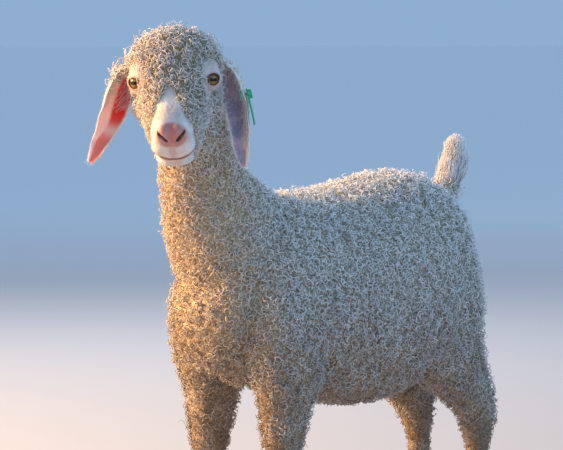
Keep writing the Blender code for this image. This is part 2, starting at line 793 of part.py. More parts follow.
def claw_form(name, foot, side):
    rings = []
    for height, back, half_width, half_length in CLAW:
        middle = foot + Vector((side * CLAW_SPREAD, back, height))
        ring = []
        for j in range(12):
            angle = 2 * math.pi * j / 12
            x, y = math.cos(angle) * half_width, math.sin(angle) * half_length
            if y < 0:
                x *= 1 - 0.35 * (y / half_length) ** 2
                x -= side * 0.0022 * (y / half_length) ** 2
            ring.append(middle + Vector((x, y, 0)))
        rings.append(ring)
    return loft(name, rings)


def dewclaws(rows):
    """The small claws that stand out behind a foot, for a leg of these rows."""
    (across, behind, up), radii = DEWCLAW
    middle = min((row[0] for row in rows), key=lambda place: abs(place[2] - up))
    out = []
    for way in (-1, 1):
        place = Vector((middle[0] + way * across, middle[1] + behind, up))
        out.append(ellipsoid("dewclaw", place, radii, 6, 5))
    return out


def ear_point(rows, station, share):
    """The place and outward normal on an ear's back, and its thickness there, at a share of its half curl."""
    middle, radius, curl, thick, face = rows[station]
    along = (Vector(rows[station + 1][0]) - Vector(rows[station - 1][0])).normalized()
    facing = Matrix.Rotation(math.radians(face), 3, "Z") @ Vector((0, -1, 0))
    facing = (facing - along * facing.dot(along)).normalized()
    side = along.cross(facing)
    angle = share * math.radians(curl) / 2
    out = side * math.sin(angle) - facing * math.cos(angle)
    depth = thick * (1 - 0.6 * share**4)
    return Vector(middle) + facing * radius + out * (radius + depth / 2), out, depth


def cylinder(name, radius, depth, start, matrix, sides=16):
    """A cylinder along +X from start, placed by a matrix."""
    bpy.ops.mesh.primitive_cylinder_add(vertices=sides, radius=radius, depth=depth)
    obj = bpy.context.object
    obj.name = name
    along_x = Matrix.Translation((start + depth / 2, 0, 0)) @ Matrix.Rotation(math.pi / 2, 4, "Y")
    return moved(obj, matrix @ along_x)


def ear_tag():
    """The tag: a flag with its boss outside the ear, and a stud with a short pin inside it."""
    place, out, depth = ear_point(EAR_LEFT, TAG_STATION, -TAG_ROUND)
    out = Vector((out.x, out.y, 0)).normalized()
    across = Vector((0, 0, 1)).cross(out)
    frame = Matrix((out, across, Vector((0, 0, 1)))).transposed().to_4x4()
    outside = level_matrix() @ Matrix.Translation(place + out * TAG_STAND) @ frame
    lean = outside @ Matrix.Rotation(TAG_LEAN, 4, "Y").inverted()
    rings = []
    for below, half in TAG_FLAG:
        corners = ((0, -half), (TAG_FLAG_THICK, -half), (TAG_FLAG_THICK, half), (0, half))
        rings.append([lean @ Vector((x, y, -below)) for x, y in corners])
    flag = loft("ear_tag_flag", rings)
    boss = cylinder("boss", *TAG_BOSS, TAG_FLAG_THICK * 0.5, lean)
    boolean(flag, [boss], "UNION")
    inside = level_matrix() @ Matrix.Translation(place - out * (depth + TAG_STAND)) @ frame
    stud = cylinder("ear_tag_stud", *TAG_STUD, -TAG_PIN[1] - TAG_STUD[1], inside)
    pin = cylinder("pin", TAG_PIN[0], TAG_PIN[1] + 0.0005, -TAG_PIN[1] - 0.0005, inside, 10)
    boolean(stud, [pin], "UNION")


def finish_objects():
    """Gathers the parts in their collection, gives each its own material and sets them on their place."""
    home = bpy.data.collections.new(COLLECTION)
    bpy.context.scene.collection.children.link(home)
    looks = (
        ("ear_tag", TAG_GREEN),
        ("ear_", EAR_PINK),
        ("eye_", EYE_AMBER),
        ("hoof_", HORN),
        ("head", FACE),
        ("", FLEECE),
    )
    for obj in list(bpy.context.scene.objects):
        for old in list(obj.users_collection):
            old.objects.unlink(obj)
        home.objects.link(obj)
        obj.data.name = obj.name
        obj.data.transform(Matrix.Translation(PLACE))
        colour, roughness = next(look for start, look in looks if obj.name.startswith(start))
        material = bpy.data.materials.new(obj.name)
        material.use_nodes = True
        shader = material.node_tree.nodes["Principled BSDF"]
        shader.inputs["Base Color"].default_value = (*colour, 1)
        shader.inputs["Roughness"].default_value = roughness
        shader.inputs["Metallic"].default_value = 0.0
        obj.data.materials.clear()
        obj.data.materials.append(material)
        if obj.name.startswith(("eye_", "ear_left", "ear_right")):
            obj.data.shade_smooth()


def main():
    for obj in list(bpy.data.objects):
        bpy.data.objects.remove(obj)
    body = fused("torso", body_forms(), 0.005, 16)
    boolean(body, clumps_on(body, lambda region: region != "head"), "UNION")
    thinned(evened(body, 0.003, 2), BODY_TRIANGLES)
    head = fused("head", head_forms() + lid_forms() + [neck_form()], 0.0022, 3)
    boolean(head, clumps_on(head, lambda region: region == "head"), "UNION")
    thinned(evened(head, 0.0016, 2), HEAD_TRIANGLES)
    place, normal = head_cut()
    boolean(head, [half_space(place + normal * GAP, normal)], "INTERSECT")
    keep_largest(head)
    boolean(body, [half_space(place, normal)], "DIFFERENCE")
    boolean(head, face_cutters(), "DIFFERENCE")
    for name, rows in (("ear_right", EAR_RIGHT), ("ear_left", EAR_LEFT)):
        ear = thinned(fused(name, [ear_form("leaf", rows)], 0.0012, 2), EAR_TRIANGLES)
        for flesh in (head, body):
            boolean(flesh, [fattened(copy_of(ear, "seat"), EAR_SEAT)], "DIFFERENCE")
    keep_largest(head)
    for side, mirror in (("left", 1), ("right", -1)):
        for leg, rows, reach, step, joint, hoof in (
            ("foreleg", FORELEG, FORELEG_REACH, FORELEG_STEP, KNEE_HEIGHT, FORE_HOOF),
            ("hindleg", HINDLEG, HINDLEG_REACH, HINDLEG_STEP, HOCK_HEIGHT, HIND_HOOF),
        ):
            upper = split_by_reach(body, f"{leg}_{side}_upper", for_side(reach, side, step))
            lower = split_by_plane(upper, f"{leg}_{side}_lower", (0, 0, joint), (0, 0, -1))
            keep_largest(upper)
            boolean(lower, dewclaws(for_side(rows, side, step)), "UNION")
            boolean(lower, [half_space((0, 0, HOOF_HEIGHT + GAP), (0, 0, -1))], "DIFFERENCE")
            keep_largest(lower)
            foot = Vector((hoof.x * mirror, hoof.y, 0)) + step * (side == "right")
            for claw, way in (("inner", -mirror), ("outer", mirror)):
                claw_form(f"hoof_{leg}_{side}_{claw}", foot, way)
    split_by_plane(body, "neck", NECK_CUT_PLACE, NECK_CUT_NORMAL)
    split_by_reach(body, "tail", TAIL_REACH, level=False)
    keep_largest(body)
    for name, mirror in (("eye_left", 1), ("eye_right", -1)):
        eye = ellipsoid(name, Vector(), [EYE_RADIUS] * 3, 14, 8)
        moved(eye, head_matrix() @ eye_frame(mirror))
    ear_tag()
    finish_objects()


if __name__ == "__main__":
    main()
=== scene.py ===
# %% [markdown]
# # A young Angora goat
#
# The goat stands with its head turned to its left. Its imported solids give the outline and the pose.
# This lesson dresses them: one skin over all the flesh, a coat of small curls, short hair on the face,
# eyes, hooves and an ear tag. Everything is in metres with +Z up, and the body faces -Y.
#
# The goat is still, so every piece rides on the one body, "root".

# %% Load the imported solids
import functools
import itertools
import math

import bmesh
import bpy
import numpy as np
from mathutils import Matrix, Vector, noise
from mathutils.bvhtree import BVHTree
from mathutils.kdtree import KDTree


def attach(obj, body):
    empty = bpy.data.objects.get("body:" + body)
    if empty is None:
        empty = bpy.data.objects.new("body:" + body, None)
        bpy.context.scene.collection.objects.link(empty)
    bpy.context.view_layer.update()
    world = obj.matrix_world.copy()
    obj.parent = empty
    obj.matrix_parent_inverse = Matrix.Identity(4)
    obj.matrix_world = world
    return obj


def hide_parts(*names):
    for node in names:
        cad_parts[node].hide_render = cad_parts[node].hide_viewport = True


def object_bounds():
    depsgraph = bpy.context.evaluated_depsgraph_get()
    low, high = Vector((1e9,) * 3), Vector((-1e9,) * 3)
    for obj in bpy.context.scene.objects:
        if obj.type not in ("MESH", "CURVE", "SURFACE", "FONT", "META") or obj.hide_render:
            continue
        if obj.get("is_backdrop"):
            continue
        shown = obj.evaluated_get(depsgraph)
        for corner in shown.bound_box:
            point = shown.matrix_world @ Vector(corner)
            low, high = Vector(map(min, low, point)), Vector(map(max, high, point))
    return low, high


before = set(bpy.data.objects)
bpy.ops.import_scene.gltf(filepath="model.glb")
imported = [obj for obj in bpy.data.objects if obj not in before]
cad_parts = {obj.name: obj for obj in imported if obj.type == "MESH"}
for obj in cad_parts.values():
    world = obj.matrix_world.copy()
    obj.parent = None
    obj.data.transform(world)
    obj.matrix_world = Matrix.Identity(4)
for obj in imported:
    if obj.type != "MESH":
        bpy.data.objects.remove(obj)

cad_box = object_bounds()
MAKER = np.random.default_rng(11)
# How far the built goat is moved so that its box stands centred, as in the solids
PLACE = Vector((0.0, 0.061, 0.0))
print("solids:", len(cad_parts), "box", [tuple(round(x, 4) for x in corner) for corner in cad_box])

# %% [markdown]
# ## The goat's sizes
#
# A goat's body could be sculpted by hand, but stations along the spine and the limbs say the same in a
# few numbers. Each row is one station: where it is and how wide and deep the flesh is there, without
# the coat. They are the stations of the solids, so the skin lies inside them by the coat's depth.

# %% Stations of trunk, neck, legs and tail
# The trunk's rows are Y, top, height where it is widest, underside and half width. The others are the
# middle, half the width and half the depth.
TORSO = (
    (-0.188, 0.408, 0.350, 0.292, 0.058),
    (-0.164, 0.436, 0.351, 0.276, 0.080),
    (-0.132, 0.462, 0.350, 0.264, 0.094),
    (-0.090, 0.482, 0.345, 0.255, 0.101),
    (-0.030, 0.484, 0.340, 0.238, 0.108),
    (0.030, 0.495, 0.336, 0.231, 0.114),
    (0.090, 0.506, 0.342, 0.245, 0.112),
    (0.140, 0.502, 0.362, 0.280, 0.098),
    (0.172, 0.484, 0.382, 0.318, 0.076),
)
BRISKET_BULGE, RUMP_BULGE = 0.034, 0.026
NECK = (
    ((0.000, -0.125, 0.380), 0.072, 0.085),
    ((0.000, -0.160, 0.446), 0.056, 0.080),
    ((0.004, -0.178, 0.486), 0.043, 0.073),
    ((0.008, -0.200, 0.512), 0.036, 0.058),
    ((0.012, -0.221, 0.538), 0.033, 0.042),
    ((0.017, -0.236, 0.572), 0.032, 0.037),
    ((0.022, -0.247, 0.602), 0.030, 0.034),
    ((0.028, -0.258, 0.628), 0.022, 0.024),
)
FORELEG = (
    ((0.056, -0.105, 0.390), 0.036, 0.058),
    ((0.070, -0.128, 0.325), 0.036, 0.054),
    ((0.071, -0.128, 0.270), 0.029, 0.040),
    ((0.068, -0.129, 0.225), 0.0215, 0.0265),
    ((0.066, -0.130, 0.165), 0.0180, 0.0195),
    ((0.065, -0.127, 0.115), 0.0118, 0.0135),
    ((0.065, -0.127, 0.068), 0.0145, 0.0155),
    ((0.065, -0.136, 0.048), 0.0128, 0.0130),
    ((0.065, -0.145, 0.028), 0.0155, 0.0165),
    ((0.065, -0.150, 0.014), 0.0150, 0.0160),
)
HINDLEG = (
    ((0.048, 0.115, 0.420), 0.050, 0.070),
    ((0.066, 0.124, 0.350), 0.044, 0.068),
    ((0.074, 0.138, 0.290), 0.034, 0.052),
    ((0.070, 0.180, 0.238), 0.0220, 0.0290),
    ((0.065, 0.205, 0.203), 0.0185, 0.0220),
    ((0.063, 0.211, 0.150), 0.0122, 0.0145),
    ((0.062, 0.211, 0.110), 0.0120, 0.0140),
    ((0.062, 0.210, 0.070), 0.0148, 0.0160),
    ((0.062, 0.201, 0.050), 0.0130, 0.0132),
    ((0.062, 0.192, 0.028), 0.0155, 0.0168),
    ((0.062, 0.187, 0.014), 0.0150, 0.0160),
)
TAIL = (
    ((0.0, 0.160, 0.455), 0.020, 0.018),
    ((0.0, 0.192, 0.478), 0.017, 0.015),
    ((0.0, 0.213, 0.500), 0.0130, 0.0120),
    ((0.0, 0.223, 0.525), 0.0110, 0.0095),
    ((0.0, 0.227, 0.545), 0.0080, 0.0070),
    ((0.0, 0.226, 0.560), 0.0040, 0.0040),
)
FORELEG_STEP, HINDLEG_STEP = Vector((0.0, -0.018, 0.0)), Vector((0.0, 0.006, 0.0))
# Coat depth from the skin to the tips of the curls
COAT = {"torso": 0.026, "neck": 0.021, "leg": 0.015, "shank": 0.005, "tail": 0.008, "head": 0.012}
# The share of that depth that is a close felt of hair under the curls
FELT_SHARE = 0.45
print("stations:", len(TORSO), len(NECK), len(FORELEG), len(HINDLEG), len(TAIL))

# %% [markdown]
# The head has a frame of its own, with its origin midway between the eyes, facing -Y before it is
# turned, pitched and tilted. Modelling a head straight on and turning it at the end keeps its two
# halves alike, which is how a sculptor works too.

# %% The head's frame and stations
EYES_MIDDLE = Vector((0.0579, -0.2967, 0.6455))
HEAD_TURN, NOSE_DOWN, HEAD_TILT = math.radians(47.3), math.radians(38), math.radians(-2.6)
TURN_AND_TILT = Matrix.Rotation(HEAD_TURN, 4, "Z") @ Matrix.Rotation(HEAD_TILT, 4, "Y")
HEAD_FRAME = Matrix.Translation(EYES_MIDDLE) @ TURN_AND_TILT @ Matrix.Rotation(NOSE_DOWN, 4, "X")
# The ears hang in a level frame of their own
EARS_MIDDLE, EARS_TURN = Vector((0.056, -0.299, 0.6455)), math.radians(49)
LEVEL_FRAME = Matrix.Translation(EARS_MIDDLE) @ Matrix.Rotation(EARS_TURN, 4, "Z")
# As the trunk's rows, but with the place ahead of the eyes in the place of Y
HEAD = (
    (-0.056, 0.018, -0.004, -0.030, 0.030),
    (-0.046, 0.029, 0.000, -0.048, 0.041),
    (-0.030, 0.035, 0.002, -0.058, 0.047),
    (-0.010, 0.035, 0.000, -0.064, 0.050),
    (0.010, 0.031, -0.004, -0.065, 0.0425),
    (0.028, 0.025, -0.012, -0.064, 0.0360),
    (0.046, 0.020, -0.018, -0.062, 0.0315),
    (0.064, 0.016, -0.024, -0.060, 0.0285),
    (0.080, 0.011, -0.026, -0.059, 0.0270),
    (0.090, 0.004, -0.026, -0.054, 0.0240),
)
NAPE_BULGE, LIPS_BULGE = 0.012, 0.0085
# Place across, ahead and up, then three radii: orbit, cheek, upper lip, nose, nostril wing, chin
HEAD_SWELLINGS = (
    ((0.0350, -0.011, 0.009), (0.0205, 0.0240, 0.0185)),
    ((0.0300, -0.014, -0.040), (0.0210, 0.0320, 0.0230)),
    ((0.0130, 0.083, -0.032), (0.0150, 0.0150, 0.0120)),
    ((0.0082, 0.087, -0.007), (0.0118, 0.0122, 0.0130)),
    ((0.0145, 0.088, -0.009), (0.0065, 0.0095, 0.0080)),
    ((0.0070, 0.073, -0.0540), (0.0180, 0.0215, 0.0085)),
)
CROWN = ((0.0, -0.026, 0.012), (0.052, 0.046, 0.030))
EYE_RADIUS = 0.0125
EYE = Vector((0.0430, 0.000, 0.0030))
# Where the goat's left eye looks, with the head level: out to the side, ahead and a little down
EYE_LOOK = Vector((0.55, -0.82, -0.15)).normalized()
LID_THICKNESS = 0.0026
LID_OPENING = (0.0082, 0.0088, 0.0070)
# The nostril's line as place across, ahead and up with its radius, and the mouth's line from the middle
# to a corner
NOSTRIL = (
    (0.0066, 0.0962, -0.0142, 0.0018),
    (0.0088, 0.0958, -0.0112, 0.0029),
    (0.0118, 0.0948, -0.0076, 0.0032),
    (0.0145, 0.0930, -0.0044, 0.0022),
    (0.0158, 0.0905, -0.0026, 0.0012),
)
MOUTH = (
    (0.0, 0.0965, -0.0435),
    (0.0095, 0.0950, -0.0428),
    (0.0175, 0.0900, -0.0385),
    (0.0235, 0.0820, -0.0325),
    (0.0268, 0.0730, -0.0262),
    (0.0282, 0.0640, -0.0205),
    (0.0286, 0.0580, -0.0165),
)
# How far ahead of the eyes lies the place that the mouth's cut runs in towards, how deep the cut goes
# behind the lips and half its height between them
MOUTH_BACK, MOUTH_DEEP, MOUTH_HALF = 0.052, 0.0042, 0.0019
# Ear stations: the middle of the trough's back, its radius, curl in degrees, thickness and facing
EAR_RIGHT = (
    ((-0.038, 0.034, 0.016), 0.010, 150, 0.0080, 20),
    ((-0.052, 0.040, 0.014), 0.013, 210, 0.0050, 25),
    ((-0.068, 0.044, 0.001), 0.016, 190, 0.0034, 30),
    ((-0.077, 0.045, -0.022), 0.018, 165, 0.0028, 32),
    ((-0.083, 0.042, -0.046), 0.017, 145, 0.0026, 26),
    ((-0.089, 0.036, -0.068), 0.013, 125, 0.0026, 6),
    ((-0.096, 0.028, -0.086), 0.012, 105, 0.0024, -12),
    ((-0.104, 0.022, -0.101), 0.0075, 70, 0.0018, -16),
)
EAR_LEFT = (
    ((0.038, 0.034, 0.018), 0.010, 150, 0.0080, -20),
    ((0.053, 0.040, 0.017), 0.013, 210, 0.0050, -25),
    ((0.071, 0.045, 0.006), 0.016, 190, 0.0034, -32),
    ((0.081, 0.048, -0.018), 0.018, 160, 0.0028, -34),
    ((0.085, 0.046, -0.042), 0.018, 140, 0.0026, -34),
    ((0.087, 0.038, -0.066), 0.0165, 125, 0.0026, -32),
    ((0.088, 0.031, -0.088), 0.0140, 105, 0.0024, -30),
    ((0.089, 0.026, -0.106), 0.0085, 70, 0.0018, -28),
)
print("the head looks towards", [round(c, 2) for c in HEAD_FRAME.to_3x3() @ Vector((0, -1, 0))])

# %% [markdown]
# ## Making forms
#
# A loft runs rings of points along a line and joins them, the way hoops and laths make a barrel. Blender
# could also do this with curves and a bevel, but rings from a table can be oval, leaning and domed.

# %% Rings and lofts
def smooth_rows(rows, steps):
    """Rows with steps more rows on a smooth curve between each two."""
    table = np.array(rows, float)
    padded = np.vstack([2 * table[0] - table[1], table, 2 * table[-1] - table[-2]])
    out = []
    for i in range(1, len(padded) - 2):
        a, b, c, d = padded[i - 1 : i + 3]
        for step in range(steps):
            t = step / steps
            bend = (2 * a - 5 * b + 4 * c - d) * t * t + (3 * b - a - 3 * c + d) * t * t * t
            out.append(0.5 * (2 * b + (c - a) * t + bend))
    return np.array(out + [padded[-2]])


def new_object(name, points, faces):
    """A mesh object from points and faces, with its faces turned out."""
    mesh = bpy.data.meshes.new(name)
    mesh.from_pydata([tuple(p) for p in points], [], faces)
    build = bmesh.new()
    build.from_mesh(mesh)
    bmesh.ops.recalc_face_normals(build, faces=build.faces)
    build.to_mesh(mesh)
    build.free()
    obj = bpy.data.objects.new(name, mesh)
    bpy.context.scene.collection.objects.link(obj)
    return obj


def loft(name, rings):
    """A closed body through rings of equally many points, with a flat cap on each end."""
    count = len(rings[0])
    faces = []
    for i in range(len(rings) - 1):
        for j in range(count):
            k = (j + 1) % count
            a, b = i * count, (i + 1) * count
            faces.append((a + j, a + k, b + k, b + j))
    last = (len(rings) - 1) * count
    faces += [tuple(range(count))[::-1], tuple(last + j for j in range(count))]
    return new_object(name, [p for ring in rings for p in ring], faces)


def oval(side, up, half_width, rise, fall, count, squareness=2.2):
    """Offsets round an oval that is a little squarer than an ellipse."""
    ring = []
    for j in range(count):
        c, s = math.cos(math.tau * j / count), math.sin(math.tau * j / count)
        x = math.copysign(abs(c) ** (2 / squareness), c) * half_width
        z = math.copysign(abs(s) ** (2 / squareness), s) * (rise if s > 0 else fall)
        ring.append(side * x + up * z)
    return ring


def domed(rings, start, end):
    """The rings with three smaller ones past each end, so that the body closes in a dome."""
    out = list(rings)
    for depth, at_start in ((start, True), (end, False)):
        last, inner = (out[0], out[1]) if at_start else (out[-1], out[-2])
        middle = sum(last, Vector()) / len(last)
        way = (middle - sum(inner, Vector()) / len(inner)).normalized()
        for part in (0.4, 0.75, 0.95):
            size = math.sqrt(1 - part * part)
            ring = [middle + (p - middle) * size + way * depth * part for p in last]
            out = [ring] + out if at_start else out + [ring]
    return out


def trunk_rings(rows, grow, count, start, end, steps=3, squareness=2.2):
    """Upright rings along Y with domed ends. A row is Y, top, widest height, underside, half width."""
    rings = []
    for y, top, wide, bottom, half in smooth_rows(rows, steps):
        side, up, middle = Vector((1, 0, 0)), Vector((0, 0, 1)), Vector((0, y, wide))
        ring = oval(side, up, half + grow, top - wide + grow, wide - bottom + grow, count, squareness)
        rings.append([middle + p for p in ring])
    return domed(rings, start + grow, end + grow)


def limb_rings(rows, grow, count, steps=3, level=False):
    """Rings along a limb. grow is the coat's depth, or a function that gives it for a height."""
    table = smooth_rows([(*middle, half, deep) for middle, half, deep in rows], steps)
    rings = []
    for i, row in enumerate(table):
        before, after = table[max(i - 1, 0)], table[min(i + 1, len(table) - 1)]
        axis = Vector((0, 0, -1)) if level else Vector(after[:3] - before[:3]).normalized()
        deep = axis.cross(Vector((1, 0, 0))).normalized()
        across = deep.cross(axis).normalized()
        more = grow(row[2]) if callable(grow) else grow
        ring = oval(across, deep, row[3] + more, row[4] + more, row[4] + more, count, 2.1)
        rings.append([Vector(row[:3]) + p for p in ring])
    return rings


def right_leg(rows, step):
    """The rows of a right leg from those of the left one, its foot moved by step."""
    top, out = rows[0][0][2], []
    for (x, y, z), half, deep in rows:
        share = min(1.0, max(0.0, (top - z) / (top - 0.15)))
        out.append(((-x, y + step.y * share, z), half, deep))
    return tuple(out)


def ellipsoid(name, place, radii, segments=32, rings=18):
    bpy.ops.mesh.primitive_uv_sphere_add(segments=segments, ring_count=rings, radius=1)
    obj = bpy.context.object
    obj.name = name
    obj.data.transform(Matrix.Translation(place) @ Matrix.Diagonal((*radii, 1)))
    return obj


def moved(obj, matrix):
    """Moves a mesh by a matrix, and keeps its faces turned out when the matrix mirrors it."""
    obj.data.transform(matrix)
    if matrix.determinant() < 0:
        obj.data.flip_normals()
    return obj


print("a smooth curve through 3 rows in 2 steps has", len(smooth_rows([(0,), (1,), (0,)], 2)), "rows")

# %% [markdown]
# Flesh has no seams, so the lofts are fused. A Boolean union would leave sharp creases where two forms
# meet. The voxel Remesh modifier wraps them all in one even grid, and Smooth softens the joins.

# %% Fusing and cutting
def apply_modifiers(obj):
    graph = bpy.context.evaluated_depsgraph_get()
    mesh = bpy.data.meshes.new_from_object(obj.evaluated_get(graph))
    obj.modifiers.clear()
    obj.data = mesh
    return obj


def evened(obj, voxel, smoothing):
    """The same shape from small even faces, with its creases softened."""
    remesh = obj.modifiers.new("even", "REMESH")
    remesh.mode = "VOXEL"
    remesh.voxel_size = voxel
    soften = obj.modifiers.new("soften", "SMOOTH")
    soften.factor = 0.5
    soften.iterations = smoothing
    return apply_modifiers(obj)


def fused(name, pieces, voxel, smoothing):
    """One closed body from overlapping closed ones."""
    whole = bmesh.new()
    for piece in pieces:
        whole.from_mesh(piece.data)
        bpy.data.objects.remove(piece)
    mesh = bpy.data.meshes.new(name)
    whole.to_mesh(mesh)
    whole.free()
    obj = bpy.data.objects.new(name, mesh)
    bpy.context.scene.collection.objects.link(obj)
    return evened(obj, voxel, smoothing)


def boolean(obj, others, operation):
    """Joins or cuts a mesh with others, which are then removed."""
    group = bpy.data.collections.new("tools")
    bpy.context.scene.collection.children.link(group)
    for other in others:
        for old in list(other.users_collection):
            old.objects.unlink(other)
        group.objects.link(other)
    step = obj.modifiers.new("step", "BOOLEAN")
    step.operation, step.solver = operation, "MANIFOLD"
    step.operand_type, step.collection = "COLLECTION", group
    apply_modifiers(obj)
    for other in others:
        bpy.data.objects.remove(other)
    bpy.data.collections.remove(group)
    return obj


def points_of(obj):
    """The mesh's points and point normals as two tables."""
    count = len(obj.data.vertices)
    points, normals = np.empty(count * 3), np.empty(count * 3)
    obj.data.vertices.foreach_get("co", points)
    obj.data.vertex_normals.foreach_get("vector", normals)
    return points.reshape(-1, 3), normals.reshape(-1, 3)


def set_points(obj, points):
    obj.data.vertices.foreach_set("co", np.asarray(points, np.float32).ravel())
    obj.data.update()
    return obj


print("forms can now be fused, cut and read as tables")

# %% [markdown]
# ## The body
#
# The trunk, neck, tail and legs are wanted twice: once as bare flesh, and once grown by the felt of hair
# that hides the skin between the curls. One function makes both, because only the growth differs.

# %% Body forms
SHANK_TOP, SHANK_FOOT = 0.150, 0.045


def leg_growth(share):
    """How much a leg grows at a height: full above the knee, little below it, nothing at the hoof."""

    def growth(height):
        upper = min(1.0, max(0.0, (height - SHANK_TOP) / 0.06))
        lower = min(1.0, max(0.0, (height - SHANK_FOOT) / 0.05))
        return share * (COAT["shank"] * lower + (COAT["leg"] - COAT["shank"]) * upper)

    return growth


def body_forms(share):
    forms = [
        loft("torso_form", trunk_rings(TORSO, COAT["torso"] * share, 40, BRISKET_BULGE, RUMP_BULGE)),
        loft("neck_form", limb_rings(NECK, COAT["neck"] * share, 32, level=True)),
        loft("tail_form", domed(limb_rings(TAIL, COAT["tail"] * share, 20), 0.001, 0.004)),
    ]
    for rows in (FORELEG, HINDLEG, right_leg(FORELEG, FORELEG_STEP), right_leg(HINDLEG, HINDLEG_STEP)):
        forms.append(loft("leg_form", limb_rings(rows, leg_growth(share), 28)))
    return forms


def head_forms():
    rows = [(-ahead, *rest) for ahead, *rest in HEAD]
    forms = [loft("head_form", trunk_rings(rows, 0.0, 44, NAPE_BULGE, LIPS_BULGE, squareness=2.35))]
    for (x, ahead, up), radii in HEAD_SWELLINGS:
        for mirror in (1, -1):
            forms.append(ellipsoid("swelling", Vector((x * mirror, -ahead, up)), radii))
    (x, ahead, up), radii = CROWN
    forms.append(ellipsoid("crown", Vector((x, -ahead, up)), radii))
    for form in forms:
        form.data.transform(HEAD_FRAME)
    return forms


print("body forms ready")

# %% [markdown]
# ## The head
#
# A goat's head gets the finest grid, because the eye looks there first. Sockets, the slits between the
# lids, the comma-shaped nostrils and the smiling mouth line are cut out of the fused form, and a second,
# finer remesh rounds the cut edges like lips and lids. Cutting first and rounding after is quicker than
# modelling every fold, and it keeps both halves alike.

# %% Cutters of the face
def eye_frame(mirror):
    """The eye's own frame in the head's: X along the slit, Y out along the look and Z up."""
    look = Matrix.Rotation(-NOSE_DOWN, 3, "X") @ Vector((EYE_LOOK.x * mirror, EYE_LOOK.y, EYE_LOOK.z))
    up = HEAD_FRAME.to_3x3().transposed() @ Vector((0, 0, 1))
    along = look.cross(up).normalized() * mirror
    rise = along.cross(look).normalized() * mirror
    turn = Matrix((along, look, rise)).transposed().to_4x4()
    place = Vector((EYE.x * mirror, EYE.y, EYE.z))
    return Matrix.Translation(place) @ turn


def tube(points, radii, segments=12):
    """A closed tube with round ends along points."""
    rings = []
    for i, point in enumerate(points):
        before, after = points[max(i - 1, 0)], points[min(i + 1, len(points) - 1)]
        axis = (after - before).normalized()
        side = axis.cross(Vector((0, 1, 0))).normalized()
        up = axis.cross(side)
        ring = []
        for j in range(segments):
            angle = math.tau * j / segments
            ring.append(point + (side * math.cos(angle) + up * math.sin(angle)) * radii[i])
        rings.append(ring)
    return loft("tube", domed(rings, radii[0], radii[-1]))


# Where one nostril and half of the mouth really run on the face, as places across, ahead and up
face_lines = {"nostril": [], "mouth": []}


def on_face(tree, point, inward):
    """The place in the head's frame where a point, pushed inward from outside, meets the face."""
    turn = HEAD_FRAME.to_3x3()
    start = HEAD_FRAME @ (point - inward * 0.02)
    hit = tree.ray_cast(start, turn @ inward)[0]
    return HEAD_FRAME.inverted() @ hit if hit else point


def face_cutters(face):
    corners = [v.co for v in face.data.vertices]
    tree = BVHTree.FromPolygons(corners, [p.vertices for p in face.data.polygons])
    back = Vector((0, 1, 0))
    cutters = []
    for mirror in (1, -1):
        frame_here = eye_frame(mirror)
        cutters.append(moved(ellipsoid("socket", Vector(), [EYE_RADIUS + 0.0004] * 3), frame_here))
        opening = ellipsoid("opening", Vector((0, EYE_RADIUS, 0)), LID_OPENING)
        for vert in opening.data.vertices:
            vert.co.z *= 1 - 0.25 * min(1.0, abs(vert.co.x) / LID_OPENING[0]) ** 2
        cutters.append(moved(opening, frame_here))
        comma = smooth_rows([(x * mirror, -ahead, up, radius) for x, ahead, up, radius in NOSTRIL], 3)
        places = [on_face(tree, Vector(row[:3]), back) + back * row[3] * 0.5 for row in comma]
        cutters.append(tube(places, [row[3] for row in comma]))
        face_lines["nostril"] = [(abs(p.x), -p.y, p.z) for p in places]
    rows = [(-x, ahead, up) for x, ahead, up in MOUTH[:0:-1]] + list(MOUTH)
    rings = []
    for x, ahead, up in smooth_rows(rows, 5):
        inward = Vector((-x, ahead - MOUTH_BACK, 0.0)).normalized()
        point = on_face(tree, Vector((x, -ahead, up)), inward)
        lip, edge = point - inward * 0.003, Vector((0, 0, MOUTH_HALF))
        rings.append([point + inward * MOUTH_DEEP, lip + edge, lip - edge])
        if x > -1e-6:
            face_lines["mouth"].append((point.x, -point.y, point.z))
    cutters.append(loft("mouth_line", rings))
    split = [on_face(tree, Vector((0, -0.098, up)), back) for up in np.linspace(-0.0200, -0.0425, 8)]
    cutters.append(tube(split, [0.0010] * len(split), 8))
    for cutter in cutters:
        cutter.data.transform(HEAD_FRAME)
    return cutters


def lid_forms():
    forms = []
    for mirror in (1, -1):
        radius = EYE_RADIUS + LID_THICKNESS
        form = ellipsoid("lids", Vector((0, -0.0006, 0)), (radius * 1.08, radius, radius))
        forms.append(moved(form, HEAD_FRAME @ eye_frame(mirror)))
    return forms


HEAD_ROUGH_GRID, HEAD_ROUGH_SMOOTHING = 0.0014, 8
HEAD_GRID, HEAD_SMOOTHING = 0.00105, 2
head = fused("head_skin", head_forms() + lid_forms(), HEAD_ROUGH_GRID, HEAD_ROUGH_SMOOTHING)
boolean(head, face_cutters(head), "DIFFERENCE")
evened(head, HEAD_GRID, HEAD_SMOOTHING)
print("head:", len(head.data.polygons), "faces")

# %% [markdown]
# The ears of this breed are long, thin and lopped. Each one is a leaf rolled into a trough: nearly a
# tube at the root and almost flat at the tip. Its thickness thins towards the rims.

